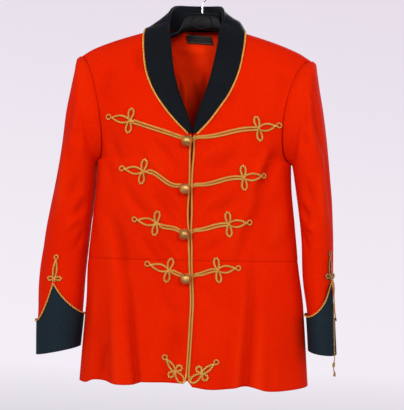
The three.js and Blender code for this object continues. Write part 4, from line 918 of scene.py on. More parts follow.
def rope(route, up, width, height, closed=False, pitch=8.5, strands=2, sides=7, step=1.15, phase=0.0,
         all_round=False):
    """Twisted strands along a route: each strand's centre circles the route's line, its own tube
    is an ellipse round that centre, and open ends are drawn in to a point.
    Returns points, faces, the corners' uv and how far each point stands out of the cord's middle,
    upwards or, on a cord that hangs free, all round."""
    line, up, at, length = resampled(route, up, step, closed)
    ahead, behind = neighbours(line, 0, closed)
    tangent = unit(ahead - behind)
    side = unit(np.cross(up, tangent))
    up = np.cross(tangent, side)
    count = len(line)
    turns = max(round(length / pitch), 1) if closed else length / pitch
    from_end = np.minimum(at, length - at)
    taper = np.ones(count) if closed else np.clip(from_end / (0.4 * width) + 0.15, 0, 1) ** 0.5
    ring, around = np.arange(sides), turns_of(sides)
    quads = np.roll(grid_quads(count, sides, rows_close=closed), -1, axis=1)
    i, j = np.divmod(quads[:, -1], sides)
    run = np.append(at, length)
    u = np.stack([run[i], run[i + 1], run[i + 1], run[i]], axis=1) * MM
    v = np.stack([j + 1, j + 1, j, j], axis=1) / sides
    caps = [] if closed else [ring, ring[::-1] + (count - 1) * sides]
    corner = np.concatenate([np.stack([u, v], axis=-1).reshape(-1, 2), np.zeros((len(caps) * sides, 2))])
    points, faces, outs = [], [], []
    for k in range(strands):
        angle = 2 * np.pi * turns * at / length + 2 * np.pi * k / strands + phase
        centre = [0.26 * width * np.cos(angle) * taper, 0.26 * height * np.sin(angle) * taper]
        across = centre[0][:, None] + 0.25 * width * taper[:, None] * np.cos(around)
        above = centre[1][:, None] + 0.27 * height * taper[:, None] * np.sin(around)
        strand = line[:, None] + side[:, None] * across[..., None] + up[:, None] * above[..., None]
        out = above / (0.5 * height)
        if all_round:
            out = np.hypot(across / (0.5 * width), out)
        first = k * count * sides
        faces += (quads + first).tolist() + [(cap + first).tolist() for cap in caps]
        points.append(strand.reshape(-1, 3))
        outs.append(out.ravel())
    return np.concatenate(points), faces, np.tile(corner, (strands, 1)), np.concatenate(outs)


def join_ropes(name, ropes, material):
    """One object from several ropes."""
    points, faces, corners, outs = zip(*ropes)
    firsts = np.cumsum([0] + [len(part) for part in points])
    joined = [[int(first) + k for k in face] for first, part in zip(firsts, faces) for face in part]
    return make_object(
        name, np.concatenate(points), joined, material, np.concatenate(corners), out=np.concatenate(outs)
    )


def gilt(node, ropes, material):
    """Several ropes as one piece, in place of a CAD cord or knot."""
    return place(join_ropes(node + "_cord", ropes, material), "gold_cord", node)


def laid(path, lay, width, height=CORD_HEIGHT, closed=False, rise=0.0, swings=True, **more):
    """A rope along a path of pairs, laid on cloth by lay(u, v, lift), with its middle half its
    height over the cloth. rise lifts it where it crosses another."""
    path = np.asarray(path, dtype=float)
    points, normals = lay(path[:, 0], path[:, 1], SEAM + 0.1 + height / 2 + rise)
    return rope(hang(points, swings), normals, width, height, closed, **more)


def curve_through(points, per_span=10):
    """A smooth path of pairs, or of triples with a rise, through given points."""
    points = np.asarray(points, dtype=float)
    return through(points, np.linspace(0, len(points) - 1, per_span * (len(points) - 1) + 1))


def knot_path(knot, side, tail):
    """One of a knot's two cords as out, across and rise: in along the tail, over the middle into
    the loop on its other side, back over the middle, and along the eye to its tip."""
    loop, half = knot["loop"] - 2.0, knot["loop_width"] / 2 - 2.2
    eye, eye_half = knot["eye"] - 1.0, knot["eye_width"] / 2 - 2.2
    low = 0.0 if side > 0 else 0.7
    body = [
        (-2.2, 1.7, low), (1.2, -1.6, low), (3.0, -5.0, low), (half, -0.62 * loop, 0),
        (half * 0.72, -0.88 * loop, 0), (0, -loop, 0), (-half * 0.72, -0.88 * loop, 0),
        (-half, -0.62 * loop, 0), (-2.6, -5.0, 0.8 + low), (-0.6, -1.0, 1.5 + low),
        (2.6, 2.6, 1.3 + low), (0.28 * eye, eye_half * 0.86, 0.2), (0.5 * eye, eye_half, 0),
        (0.74 * eye, eye_half * 0.66, 0), (0.93 * eye, 0.9, 0.4 if side > 0 else 0), (eye + 1.6, -1.3, 0.8),
    ]
    path = np.array(tail + body)
    path[:, 1] *= side
    return curve_through(path)


def knot_ropes(knot, lay, tails, swings=True, ring=True, width=4.6, **more):
    """Both cords of a knot and the ring at its tip."""
    ropes = []
    for side, tail in zip((1, -1), tails):
        path = knot_path(knot, side, tail)
        ropes.append(
            laid(path[:, :2], lay, width, rise=path[:, 2], swings=swings, phase=1.1 * side, **more)
        )
    if ring:
        a = np.linspace(0, 2 * np.pi, 41)[:-1]
        centre, radius = knot["eye"] + knot["ring"] + 0.6, knot["ring"]
        circle = np.stack([centre + radius * np.cos(a), radius * np.sin(a)], axis=1)
        ropes.append(laid(circle, lay, closed=True, rise=0.4, swings=swings, **RING_CORD))
    return ropes


def front_lay(cross, turn):
    """Lays a knot's flat shape on a front with its middle at cross and its long way turned."""
    c, s = np.cos(turn), np.sin(turn)
    return lambda out, across, lift: on_panel(
        "front", cross[0] + out * c - across * s, cross[1] - out * s - across * c, lift
    )


def plain_lay(x, drop, lift):
    """Lays a path of x and drop on the fronts."""
    return on_panel("front", x, drop, lift)


def build_frog(wearer, number, material):
    """A frog: two cords side by side from the opening, opening out into the knot, and on the
    wearer's left the loop that passes over the edges and round the button's shank."""
    row = FROGS[wearer][number]
    start, cross, ring = (np.array(row[key], dtype=float) for key in ("bar", "cross", "ring"))
    turn = np.arctan2(cross[1] - ring[1], ring[0] - cross[0])
    t = np.linspace(0, 1, 40)
    wave = row["sag"] * np.sin(2 * np.pi * t)
    bar_drop = lerp(start[1], cross[1], smooth(t) * 0.35 + t * 0.65) + wave
    bar = np.stack([lerp(start[0], cross[0], t), bar_drop], axis=1)
    way = unit(np.gradient(bar, axis=0))
    normal = np.stack([way[:, 1], -way[:, 0]], axis=1) * SIGN[wearer]
    gap = lerp(1.6 if wearer == "left" else 2.2, 2.6, smooth(t / 0.5))
    out_way = np.array([np.cos(turn), -np.sin(turn)])
    across_way = np.array([-np.sin(turn), -np.cos(turn)])
    before_cross = -7
    tails = []
    for side in (1, -1):
        line = bar + normal * (side * gap)[:, None] - cross
        line = line[line @ out_way < before_cross][::3]
        tails.append([(out, across, 0.0) for out, across in zip(line @ out_way, side * (line @ across_way))])
    ropes = knot_ropes(KNOT["frog"], front_lay(cross, turn), tails)
    if wearer == "left":
        ropes.append(button_loop(start, BUTTON_DROPS[number]))
    gilt(f"frog_{wearer}_{number + 1}", ropes, material)


def button_loop(start, drop):
    """The cord that runs from a left frog over both edges, round the button's shank and back."""
    radius = BUTTON["shank"] + 1.5
    a = np.radians(np.linspace(72, 288, 9))
    ring = np.stack([BUTTON["x"] + radius * np.cos(a), drop - radius * np.sin(a)], axis=1)
    before = [(start[0] + 6, start[1] - 1.5), (1, lerp(start[1], drop, 0.5) - 2.0)]
    after = [(1, lerp(start[1], drop, 0.5) + 2.2), (start[0] + 6, start[1] + 1.5)]
    path = curve_through(np.array(before + ring.tolist() + after))
    rise = 2.3 * smooth((start[0] + 7 - path[:, 0]) / 5)
    return laid(path, plain_lay, rise=rise, **LOOP_CORD)


def build_hem_knot(wearer, material):
    """The knot over a front's lower corner: its eye and ring point up and out, and a second eye
    runs down to the corner."""
    side = SIGN[wearer]
    cross, degrees = HEM_CORNER[wearer]
    turn = np.radians(degrees) if side > 0 else np.pi - np.radians(degrees)
    lay = front_lay(np.array(cross, dtype=float), turn)
    tail = [(-27.5, -0.6, 0), (-24, 3.4, 0), (-19, 5.8, 0), (-13, 5.8, 0), (-7, 3.8, 0)]
    ropes = knot_ropes(KNOT["hem"], lay, [tail, tail], width=4.8)
    c, s = np.cos(turn), np.sin(turn)
    end = (cross[0] - 27 * c, cross[1] + 27 * s)
    link = curve_through([(side * 3.3, 748), (side * 3.4, 755.7), (side * 3.8, 760), end])
    ropes.append(laid(link, plain_lay, width=3.4))
    gilt(f"hem_knot_{wearer}", ropes, material)


def build_sleeve_knot(wearer, material):
    """The knot that stands on a cuff's point."""
    cuff = CUFF[wearer]
    radius, base = 52.0, cuff["point"] + 9

    def lay(out, across, lift):
        turn = np.radians(cuff["at"]) + across / radius
        return on_sleeve(wearer, 1 - (base + out) / sleeve_length(wearer), turn, lift)

    tail = [(-7.0, 0.4, 0), (-4.8, 1.8, 0)]
    ropes = knot_ropes(KNOT["sleeve"], lay, [tail, tail], swings=False, width=4.4)
    gilt(f"cuff_knot_{wearer}", ropes, material)


def build_edge_cord(wearer, material):
    """The cord down the edge of a front."""
    top, foot, from_edge = 304, 755, 2.0
    drop = np.linspace(top, foot, 300)
    path = np.stack([SIGN[wearer] * (read(FRONT_EDGE, "drop", "x", drop) + from_edge), drop], axis=1)
    gilt(f"edge_cord_{wearer}", [laid(path, plain_lay, **EDGE_CORD)], material)


def build_cuff_cord(wearer, material):
    """The cord along a cuff's pointed edge."""
    away = np.linspace(-1, 1, 401)[:-1]
    turn = np.radians(CUFF[wearer]["at"]) + np.pi * np.sign(away) * np.abs(away) ** 1.3
    height = cuff_height(wearer, turn)
    lift = CUFF_LIFT + 2 * SEAM + CORD_HEIGHT / 2
    points, normals = on_sleeve(wearer, 1 - height / sleeve_length(wearer), turn, lift)
    gilt(f"cuff_cord_{wearer}", [rope(hang(points, False), normals, **CUFF_CORD, closed=True)], material)


def build_collar_cord(material):
    """The cord round the collar's outer edge."""
    half = np.linspace(0, 1, 160)
    lines = []
    for side, order in ((1, half[::-1]), (-1, half[1:])):
        sections = collar_sections(order, side)
        out = unit(sections[:, -1] - sections[:, -2])
        lines.append((sections[:, -1] + out * 2.5, out))
    centre, out = (np.concatenate(column) for column in zip(*lines))
    ahead, behind = neighbours(centre, 0, False)
    up = unit(np.cross(unit(ahead - behind), out))
    gilt("collar_cord", [rope(hang(centre), up, **COLLAR_CORD, all_round=True)], material)


# Buttons, hanger and label


def lathe(name, profile, centre, axis, material, segments=40):
    """A profile of radius and height turned round an axis."""
    profile = np.asarray(profile, dtype=float)
    axis = unit(np.asarray(axis, dtype=float))
    one = unit(np.cross(axis, [0.0, 0.0, 1.0]))
    two = np.cross(axis, one)
    a = turns_of(segments)
    ring = np.cos(a)[:, None] * one + np.sin(a)[:, None] * two
    points = centre + profile[:, None, :1] * ring[None] + profile[:, None, 1:] * axis
    return make_object(name, points.reshape(-1, 3), capped_faces(len(profile), segments), material)


def build_button(number, material):
    """A ball button: a shank, a domed back, a crimped seam at its widest and a plain dome."""
    drop = BUTTON_DROPS[number]
    radius, stand, shank = BUTTON["radius"], BUTTON["stand"], BUTTON["shank"]
    base, normal = on_panel("front", np.array([BUTTON["x"]]), np.array([float(drop)]))
    a = np.linspace(np.arcsin(shank / radius), np.pi - 0.03, 34)
    seam = 0.35 * bell((a - 1.5) / 0.05)
    ball = np.stack([(radius - seam) * np.sin(a), SEAM + stand + radius * (1 - np.cos(a)) * 0.92], axis=1)
    profile = np.vstack([[(shank * 0.98, SEAM)], ball])
    piece = lathe(f"button_{number + 1}_ball", profile, hang(base[0]), normal[0], material)
    place(piece, "brass", f"button_{number + 1}")


def hanger_middle(x):
    """Middle of the hanger from front to back: it stands under the shoulders' top line."""
    ridge = read(RIDGE, "x", "drop", np.abs(x))
    return lerp(HOOK_AXIS[1], panel_end("front", ridge)[1], smooth(np.abs(x) / 60))


def build_hanger(material):
    """The moulded hanger: rounded sections along both arms, with an oval hollow in its middle."""
    sides = 72
    arm = [np.linspace(0, 60, 61), np.linspace(60, 200, 60), [201, 202, 202.7, 203]]
    out = np.unique(np.concatenate(arm))
    x = np.concatenate([-out[:0:-1], out])[:, None]
    off = np.abs(x)
    top, bottom, depth = (read(HANGER, "x", column, off) for column in ("top", "bottom", "depth"))
    tip = np.sqrt(np.clip((203.6 - off) / 9, 0, 1))
    a = 2 * np.pi * (np.arange(sides) + 0.5)[None, :] / sides

    def square(value):
        """A circle's sine or cosine drawn out towards a rounded square's."""
        return np.sign(value) * np.abs(value) ** 0.75

    middle = (top + bottom) / 2
    z = -middle + (bottom - top) / 2 * square(np.sin(a)) * tip
    y = hanger_middle(x) + depth * square(np.cos(a)) * tip
    boss = x + HOOK_AXIS[0] * np.clip(1 - (off - 44) / 50, 0, 1)
    grid = stack(boss, y, z)
    across, down = (grid[..., 0] - HOOK_AXIS[0]) / HOLLOW["half_width"], grid[..., 2] + HOLLOW["drop"]
    oval = np.hypot(across, down / HOLLOW["half_height"])
    front = np.clip((HOOK_AXIS[1] - grid[..., 1]) / 4, 0, 1)
    grid[..., 1] += HOLLOW["depth"] * front * (1 - smooth((oval - 0.93) / 0.12))
    faces = capped_faces(len(grid), sides, turned=True)
    place(make_object("hanger_body", hang(grid).reshape(-1, 3), faces, material), "black_plastic", "hanger")


def tube(line, radius, sides):
    """A round tube along a line of points, with its radius at each, and flat ends."""
    ahead, behind = neighbours(line, 0, False)
    tangent = unit(ahead - behind)
    side = unit(np.cross(tangent, [0.0, 1.0, 0.001]))
    up = np.cross(tangent, side)
    a = turns_of(sides)
    ring = side[:, None] * np.cos(a)[:, None] + up[:, None] * np.sin(a)[:, None]
    points = line[:, None] + ring * np.broadcast_to(radius, len(line))[:, None, None]
    return points.reshape(-1, 3), capped_faces(len(line), sides)


def build_hook(material):
    """The hook of bent wire, drawn round at its free end."""
    bearing, wire = HOOK["bearing"], HOOK["wire"]
    radius = bearing + wire
    a = np.radians([-38, -18, 2, 24, 46, 68, 90, 112, 134, 156, 178, 200])
    crook = np.stack([radius * np.cos(a), -bearing + radius * np.sin(a)], axis=1)
    stem = np.array([(0, -75.4), (0, -60), (0, -48), (1.2, -41), (6, -35.5), (11.5, -29)])
    flat = curve_through(np.vstack([stem, crook]), 8)
    line = stack(HOOK_AXIS[0] + flat[:, 0], HOOK_AXIS[1], flat[:, 1])
    left = np.linalg.norm(line - line[-1], axis=1)
    round_end = np.sqrt(np.clip(1 - np.square(1 - np.minimum(left + 0.05, wire) / wire), 0.02, 1))
    points, faces = tube(line, wire * round_end, 20)
    place(make_object("hanger_hook_wire", points, faces, material), "bright_steel", "hanger_hook")


def build_lining(material):
    """Red lining inside the upper back, slack over its backing, with a pleat at the nape."""
    top, foot = 97, 345
    t = np.linspace(0, 1, 100)[None, :]
    drop = np.broadcast_to(np.linspace(top, foot, 84)[:, None], (84, 100))
    reach = 0.8 * np.minimum(panel_end("back", drop)[0], 150)
    x = lerp(reach, -reach, t)
    border = smooth((reach - np.abs(x)) / 12) * smooth((drop - top) / 6) * smooth((foot - drop) / 10)
    ripple = crease_sum(LINING_CREASES, x, drop) * border
    base, normal = on_panel("back", x, drop)
    outward = np.maximum(relief("back", x, drop), 0)
    inward = outward + CLOTH + 3 * SEAM - 0.5 + (np.maximum(ripple, -0.2) + 0.5)
    grid = base - normal * inward[..., None]
    sign = facing(grid, BACKWARDS)
    return shell("back_lining_cloth", hang(grid), LINING, material, sign, fold=ripple)


def build_label(material):
    """The bare woven label, a little crooked, held by its four corners."""
    width, height, top = LABEL["width"], LABEL["height"], LABEL["drop"]
    across = np.linspace(0.5, -0.5, 40)[None, :]
    down = np.linspace(0, 1, 14)[:, None]
    x = across * width + 1.5 * down
    drop = top + down * height + 0.05 * across * width
    ease = 0.7 * np.sin(np.pi * (across + 0.5)) * np.sin(np.pi * down)
    base, normal = on_panel("back", x, drop)
    away = np.maximum(relief("back", x, drop), 0) + CLOTH + 5 * SEAM + LINING + 0.9 + ease
    grid = base - normal * away[..., None]
    sign = facing(grid, BACKWARDS)
    place(shell("neck_label_cloth", hang(grid), 0.6, material, sign), "black_label", "neck_label")


# Materials


class Value:
    """A socket or number in a material, with arithmetic that adds Math nodes."""

    def __init__(self, finish, socket):
        self.finish, self.socket = finish, socket

    def _math(self, operation, *others):
        return self.finish.node("ShaderNodeMath", {"operation": operation}, [self, *others])["Value"]

    def __add__(self, other):
        return self._math("ADD", other)

    def __sub__(self, other):
        return self._math("SUBTRACT", other)

    def __rsub__(self, other):
        return Value(self.finish, other)._math("SUBTRACT", self)

    def __mul__(self, other):
        return self._math("MULTIPLY", other)

    def __truediv__(self, other):
        return self._math("DIVIDE", other)

    def sin(self):
        """Sine of an angle in radians."""
        return self._math("SINE")

    def abs(self):
        """Its size without its sign."""
        return self._math("ABSOLUTE")

    def above(self, low, high):
        """0 below low, 1 above high, and an even rise between them."""
        return ((self - low) / (high - low)).clamped()

    def clamped(self):
        """Kept between 0 and 1."""
        return self._math("MAXIMUM", 0.0)._math("MINIMUM", 1.0)


class Finish:
    """A material being made: its node tree, its shader and one way of adding nodes."""

    def __init__(self, name, **constants):
        self.material = bpy.data.materials.new(name)
        self.material.use_nodes = True
        self.tree = self.material.node_tree
        self.shader = self.tree.nodes["Principled BSDF"]
        for key, value in constants.items():
            self.shader.inputs[key.replace("_", " ")].default_value = value

    def node(self, kind, settings=None, inputs=()):
        """Adds a node: its settings first, then the values or links of its inputs, by name or in
        order. Returns its outputs by name as Values."""
        node = self.tree.nodes.new(kind)
        for key, value in (settings or {}).items():
            setattr(node, key, value)
        named = inputs.items() if isinstance(inputs, dict) else enumerate(inputs)
        for key, value in named:
            self.link(node.inputs[key], value)
        return {output.name: Value(self, output) for output in reversed(node.outputs) if output.enabled}

    def link(self, socket, value):
        """Sets a socket to a number or colour, or links it."""
        if isinstance(value, Value):
            value = value.socket
        if isinstance(value, bpy.types.NodeSocket):
            self.tree.links.new(value, socket)
        else:
            socket.default_value = value

    def noise(self, scale, detail=2.0, stretch=(1, 1, 1), roughness=0.5):
        """Noise over the piece's own place, with features about 1 / scale metres across."""
        where = self.node("ShaderNodeTexCoord")["Object"]
        if stretch != (1, 1, 1):
            where = self.node("ShaderNodeMapping", None, {"Vector": where, "Scale": stretch})["Vector"]
        inputs = {"Vector": where, "Scale": scale, "Detail": detail, "Roughness": roughness}
        return self.node("ShaderNodeTexNoise", None, inputs)["Fac"]

    def mixed(self, factor, one, two):
        """Colour between two by a factor. Each is a Value, or screen values of 0 to 255."""
        node = self.tree.nodes.new("ShaderNodeMix")
        node.data_type = "RGBA"
        for key, value in ((0, factor), (6, one), (7, two)):
            self.link(node.inputs[key], colour(*value) if isinstance(value, tuple) else value)
        return Value(self, node.outputs[2])

    def attribute(self, name):
        """A named number of the piece's points."""
        return self.node("ShaderNodeAttribute", {"attribute_name": name})["Fac"]

    def place(self):
        """The point's own x, y and z in metres."""
        where = self.node("ShaderNodeTexCoord")["Object"]
        parts = self.node("ShaderNodeSeparateXYZ", None, [where])
        return parts["X"], parts["Y"], parts["Z"]

    def uv(self):
        """The piece's own coordinates, along and across, in metres or turns."""
        where = self.node("ShaderNodeUVMap", {"uv_map": "along"})["UV"]
        parts = self.node("ShaderNodeSeparateXYZ", None, [where])
        return parts["X"], parts["Y"]

    def bump(self, height, distance, strength=1.0, under=None):
        """A bump from a height between 0 and 1, over another if given."""
        inputs = {"Height": height, "Distance": distance, "Strength": strength}
        if under is not None:
            inputs["Normal"] = under
        return self.node("ShaderNodeBump", None, inputs)["Normal"]

    def finish(self, **links):
        """Links the shader's inputs and returns the material."""
        for key, value in links.items():
            self.link(self.shader.inputs[key.replace("_", " ")], value)
        return self.material


def colour(red, green, blue):
    """A colour from screen values of 0 to 255, as linear light."""
    screen = np.array([red, green, blue]) / 255
    linear = np.where(screen <= 0.04045, screen / 12.92, ((screen + 0.055) / 1.055) ** 2.4)
    return (*linear.tolist(), 1.0)


def wool(name, main, dark, light, seam_dark_and_trough_shade, sheen, gloss=0.0):
    """Fulled wool: mottled tone, a matted nap of fine fibres in its bump, dark pressed seams, and
    painted shade in the creases' troughs and painted light on their crests.
    gloss is how much smoother it is than the coat's cloth, as a faced collar is."""
    f = Finish(name, Sheen_Weight=sheen, Sheen_Roughness=0.45, Specular_IOR_Level=0.15 + gloss)
    f.shader.inputs["Sheen Tint"].default_value = colour(*light)
    f.shader.inputs["Specular Tint"].default_value = colour(*light)
    patch = f.noise(9, 3)
    mottle = f.noise(230, 3)
    fibre = f.noise(1900, 3, stretch=(1, 1, 0.45))
    tone = f.mixed((patch * 0.5 + mottle * 0.5).above(0.32, 0.68), dark, main)
    tone = f.mixed(fibre.above(0.58, 0.8) * 0.35, tone, light)
    fold = f.attribute("fold")
    # Painted shade: the creases' troughs darkened towards the dark seam colour
    tone = f.mixed((fold * -1.0).above(0.8, 8.0) * 0.24, tone, seam_dark_and_trough_shade)
    # Painted highlight: the creases' crests lightened
    tone = f.mixed(fold.above(0.6, 4.5) * 0.3, tone, light)
    seam = f.attribute("seam").abs()
    groove = 1 - seam.above(0.0, 1.5)
    tone = f.mixed(groove * 0.55, tone, seam_dark_and_trough_shade)
    fine = f.bump(fibre, 0.00028, 0.55)
    soft = f.bump(mottle, 0.0007, 0.3, under=fine)
    pressed = f.bump(1 - groove, 0.0008, 0.7, under=soft)
    return f.finish(Base_Color=tone, Roughness=mottle * 0.14 + 0.78 - gloss, Normal=pressed)


def gold_thread(name, bright, dull, hollow, metallic):
    """Gilt cord: fine wire laps across each strand, painted shade in the hollows between the strands and on
    their lower sides, and tarnish.
    """
    f = Finish(name, Specular_IOR_Level=0.5)
    along, around = f.uv()
    lap = (along * 9500 + around * 6.2832).sin() * 0.5 + 0.5
    tarnish = f.noise(70, 3)
    speck = f.noise(900, 2)
    out = f.attribute("out")
    tone = f.mixed((tarnish * 0.65 + speck * 0.35).above(0.4, 0.66), bright, dull)
    tone = f.mixed(lap * 0.05, tone, hollow)
    # Painted shade: the strands' lower sides and the hollows between them darkened
    tone = f.mixed((1 - out.above(0.2, 0.6)) * 0.92, tone, hollow)
    rough = speck * 0.2 + 0.36
    return f.finish(Base_Color=tone, Roughness=rough, Metallic=(1 - tarnish.above(0.45, 0.8)) * metallic,
                    Normal=f.bump(lap, 0.0003, 0.6))


def brass(name):
    """Old gilt brass, darkened in its pits, in brighter and duller patches."""
    f = Finish(name)
    pit = f.noise(520, 4, roughness=0.65)
    patch = f.noise(110, 3)
    tone = f.mixed(patch.above(0.38, 0.64), (236, 184, 104), (176, 126, 68))
    tone = f.mixed(pit.above(0.5, 0.66) * 0.9, tone, (84, 56, 28))
    rough, pitted = pit * 0.3 + 0.3, f.bump(pit, 0.0004, 0.35)
    return f.finish(Base_Color=tone, Roughness=rough, Metallic=0.8, Normal=pitted)


def plastic(name):
    """Moulded black plastic with a fine grain and a few pale scuffs."""
    f = Finish(name, Specular_IOR_Level=0.14)
    grain = f.noise(1400, 2)
    scuff = f.noise(60, 4, stretch=(1, 1, 3))
    tone = f.mixed(scuff.above(0.55, 0.8) * 0.4, (6, 6, 9), (20, 20, 25))
    return f.finish(Base_Color=tone, Roughness=scuff * 0.2 + 0.4, Normal=f.bump(grain, 0.0002, 0.3))


def bright_steel(name):
    """Plated wire with faint draw lines."""
    f = Finish(name, Metallic=1.0)
    line = f.noise(900, 2, stretch=(1, 1, 0.05))
    tone = f.mixed(line, (196, 197, 201), (226, 227, 230))
    return f.finish(Base_Color=tone, Roughness=line * 0.14 + 0.14)


def sateen(name):
    """Glossy cotton sateen: fine floats that run down the cloth, painted shade along its pleats, and
    painted shade low down, where the fronts meet before it."""
    f = Finish(name, Specular_IOR_Level=0.3)
    f.shader.inputs["Specular Tint"].default_value = colour(255, 90, 40)
    floats = (f.uv()[0] * 5200).sin() * 0.5 + 0.5
    patch = f.noise(26, 3)
    tone = f.mixed(patch.above(0.35, 0.7), (255, 52, 6), (240, 36, 3))
    # Painted shade along the pleats
    tone = f.mixed(f.attribute("fold").above(0.4, 2.2) * 0.6, tone, (112, 10, 2))
    # Painted shade: darker low down, where the fronts meet before the lining
    height = f.place()[2]
    tone = f.mixed((height * -1.0).above(0.18, 0.26) * 0.6, tone, (112, 12, 2))
    return f.finish(Base_Color=tone, Roughness=patch * 0.16 + 0.42, Normal=f.bump(floats, 0.0002, 0.3))


def label_weave(name):
    """Black woven ribbon: fine ribs across it and a selvedge line along each long edge."""
    f = Finish(name, Specular_IOR_Level=0.4)
    along, down = f.uv()
    rib = (along * 9000).sin() * 0.5 + 0.5
    edge = 1 - ((down - 0.0085).abs() - 0.0068).abs().above(0.0, 0.0006)
    tone = f.mixed(rib * 0.4, (24, 22, 22), (40, 36, 34))
    tone = f.mixed(edge * 0.7, tone, (176, 142, 84))
    return f.finish(Base_Color=tone, Roughness=rib * 0.1 + 0.5, Normal=f.bump(rib, 0.0002, 0.4))


# Camera, light and stage


def make_camera():
    """The photograph's view: square on to the front, a little from the wearer's left."""
    azimuth, distance, roll = np.radians(6.5), 2.4, np.radians(0.9)
    target = Vector((0.007, -0.015, -0.434))
    away = Vector((np.sin(azimuth), -np.cos(azimuth), 0.0))
    data = bpy.data.cameras.new("camera")
    data.sensor_width, data.lens, data.clip_start = 36.0, 109.3, 0.01
    camera = bpy.data.objects.new("camera", data)
    camera.location = target + away * distance
    camera.rotation_mode = "QUATERNION"
    camera.rotation_quaternion = (-away).to_track_quat("-Z", "Y") @ Quaternion((0, 0, 1), roll)
    bpy.context.scene.collection.objects.link(camera)
    bpy.context.scene.camera = camera


def area_light(name, place_at, aim, size, power, tint=(1, 1, 1)):
    """A square soft light aimed at a point."""
    data = bpy.data.lights.new(name, "AREA")
    data.size, data.energy, data.color = size, power, tint
    light = bpy.data.objects.new(name, data)
    light.location = place_at
    light.rotation_mode = "QUATERNION"
    light.rotation_quaternion = (Vector(aim) - Vector(place_at)).to_track_quat("-Z", "Y")
    bpy.context.scene.collection.objects.link(light)


def make_stage():
    """A pale bowl far round the coat: flat underneath, rising in a wide curve to a wall. It glows, as
    painted light that lights the coat softly from all round.
    """
    angle = np.linspace(0, np.pi / 2, 24)
    floor, rise, level = 5.5, 3.0, -1.35
    radius = np.concatenate([[0.01, 2.0, 4.0], floor + rise * np.sin(angle), [floor + rise] * 2])
    height = np.concatenate([[0, 0, 0], rise * (1 - np.cos(angle)), [5.0, 7.0]]) + level
    segments = 96
    a = turns_of(segments)
    points = stack(radius[:, None] * np.cos(a), radius[:, None] * np.sin(a), height[:, None])
    bowl = grid_quads(len(radius), segments)[:, TURNED].tolist()
    mesh = bpy.data.meshes.new("stage")
    mesh.from_pydata(points.reshape(-1, 3).tolist(), [], bowl + [list(range(segments))])
    mesh.polygons.foreach_set("use_smooth", np.ones(len(mesh.polygons), dtype=bool))
    backdrop_glow = Finish("stage_glowing_bowl", Roughness=1.0, Specular_IOR_Level=0.0, Emission_Strength=1.0)
    backdrop_glow.shader.inputs["Base Color"].default_value = (0.02, 0.02, 0.02, 1)
    x, y, z = backdrop_glow.place()
    # Painted light: the glow a little dimmer higher up and to one side, and much dimmer on the side before
    # the coat
    pale = backdrop_glow.mixed((z * 0.35 + x * 0.05).above(-0.6, 0.6), (243, 238, 246), (228, 219, 230))
    tone = backdrop_glow.mixed((y * -1.0).above(-4.5, 1.5), pale, (146, 142, 150))
    mesh.materials.append(backdrop_glow.finish(Emission_Color=tone))
    stage = bpy.data.objects.new("stage", mesh)
    bpy.context.scene.collection.objects.link(stage)
    world = bpy.data.worlds.new("room")
    world.use_nodes = True
    background = world.node_tree.nodes["Background"]
    background.inputs["Color"].default_value = colour(226, 219, 232)
    background.inputs["Strength"].default_value = 0.35
    bpy.context.scene.world = world


def make_lights():
    """A soft box high on each side in front, the left one stronger, a weak one at each side, and
    one behind."""
    middle = (0.0, -0.05, -0.42)
    area_light("key", (-1.05, -2.85, 0.6), middle, 0.7, 42, (1.0, 0.985, 0.97))
    area_light("fill", (1.05, -2.85, 0.6), middle, 0.7, 36, (0.97, 0.98, 1.0))
    area_light("side_left", (-2.6, -1.3, 0.1), middle, 0.9, 7)
    area_light("side_right", (2.6, -1.3, 0.1), middle, 0.9, 13)
    area_light("back", (0.8, 2.4, 1.0), middle, 1.4, 30)


def build_frayed_ends(line, material):
    """The loose cord's bound top, its knot near the foot, and threads that spread below the knot."""
    run = run_along(line)
    top = line[(run > 2) & (run < 31)]
    ropes = [rope(top + (0, -0.6, 0), FORWARDS, 3.8, 3.2, pitch=5.0, all_round=True)]
    knot = line[(run > run[-1] - 27) & (run < run[-1] - 17)]
    for turn in (0.0, 2.1, 4.2):
        aside = np.array([0.9 * np.cos(turn), 0.9 * np.sin(turn), 0.0])
        ropes.append(rope(knot + aside, FORWARDS, 4.4, 4.4, pitch=7.0, phase=turn, all_round=True))
    below = line[run >= run[-1] - 19]
    share = np.linspace(0, 1, len(below))[:, None]
    for k in range(9):
        turn = 2.4 * k
        spread = share**1.4 * np.array([[4.0 * np.cos(turn), 2.2 * np.sin(turn), 0.0]]) * (0.5 + 0.06 * k)
        wave = 0.5 * np.sin(5 * share + k) * share * np.array([[1.0, 0.3, 0.0]])
        thread = (below + spread + wave)[: max(4, len(below) - k % 4)]
        ropes.append(rope(thread, FORWARDS, 1.3, 1.3, pitch=3.0, strands=1, sides=5, all_round=True))
    return place(join_ropes("loose_cord_frayed_ends", ropes, material), "gold_cord")


def build_loose_cord(material):
    """The cord that hangs from the left cuff's knot, with its ends bound and teased out."""
    route = np.array(LOOSE_CORD_ROUTE)
    dense = curve_through(route, 14)
    radius = LOOSE_CORD_DIAMETER / 2 / MM
    line = dense / MM + HOOK_AXIS
    strands = rope(line, FORWARDS, 2 * radius, 2 * radius, pitch=6.0, step=0.9, all_round=True)
    piece = place(join_ropes("loose_cord_strands", [strands], material), "gold_cord", "loose_cord")
    length = run_along(dense)[-1]
    build_frayed_ends(line, material)


def cloth_area(piece):
    """Half of a closed wall's surface, in square metres: the area of its cloth."""
    return sum(polygon.area for polygon in piece.data.polygons) / 2


def add_cloth(piece, slot, *flat):
    """Places a wall of cloth on its CAD node and notes the rectangle that it was cut from."""
    SHEETS.append((place(piece, slot, piece.name.removesuffix("_cloth")), flat))


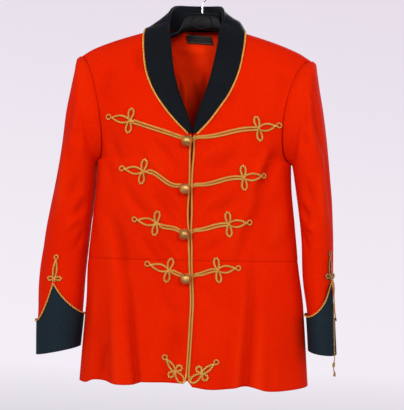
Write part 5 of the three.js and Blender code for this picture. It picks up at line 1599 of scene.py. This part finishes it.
make_camera()
gold = gold_thread("gilt_cord", (255, 196, 86), (255, 166, 60), (84, 24, 4), 0.05)
worn_gold = gold_thread("worn_gilt_cord", (210, 164, 100), (160, 116, 66), (64, 36, 16), 0.25)
build_loose_cord(worn_gold)

scarlet = wool("scarlet_wool", (226, 36, 2), (216, 28, 1), (236, 52, 6), (120, 6, 1), 0.03)
green = wool("dark_green_wool", (34, 46, 54), (28, 38, 45), (46, 58, 66), (8, 11, 13), 0.05)
black_green = wool("black_green_wool", (23, 26, 30), (16, 18, 21), (50, 54, 60), (6, 7, 8), 0.12, 0.24)
SHEETS = []
for wearer in SIGN:
    add_cloth(build_front(wearer, "front", BODICE_DROPS, False, scarlet), "scarlet_cloth", 0.27, 0.50)
    add_cloth(build_front(wearer, "skirt_front", SKIRT_DROPS, True, scarlet), "scarlet_cloth", 0.29, 0.25)
    add_cloth(build_sleeve(wearer, scarlet), "scarlet_cloth", 0.46, 0.64)
    add_cloth(build_cuff(wearer, green), "dark_green_cloth", 0.30, 0.16)
    build_sleeve_knot(wearer, gold if wearer == "right" else worn_gold)
    build_cuff_cord(wearer, gold)
    build_edge_cord(wearer, gold)
    build_hem_knot(wearer, gold)
    for number in range(len(BUTTON_DROPS)):
        build_frog(wearer, number, gold)
add_cloth(build_back("back", BODICE_DROPS, True, scarlet), "scarlet_cloth", 0.52, 0.50)
add_cloth(build_back("skirt_back", SKIRT_DROPS, False, scarlet), "scarlet_cloth", 0.56, 0.25)
add_cloth(build_lining(sateen("red_sateen")), "red_lining", 0.27, 0.26)
add_cloth(build_collar(black_green), "dark_green_cloth", 0.60, 0.24)
build_collar_cord(gold)
build_label(label_weave("label_ribbon"))
metal = brass("old_brass")
for number in range(len(BUTTON_DROPS)):
    build_button(number, metal)
build_hanger(plastic("black_plastic_grain"))
build_hook(bright_steel("plated_wire"))
for piece, flat in SHEETS:
    area = min(cloth_area(piece), flat[0] * flat[1])

make_stage()
make_lights()
bpy.context.scene.view_settings.view_transform = "Standard"
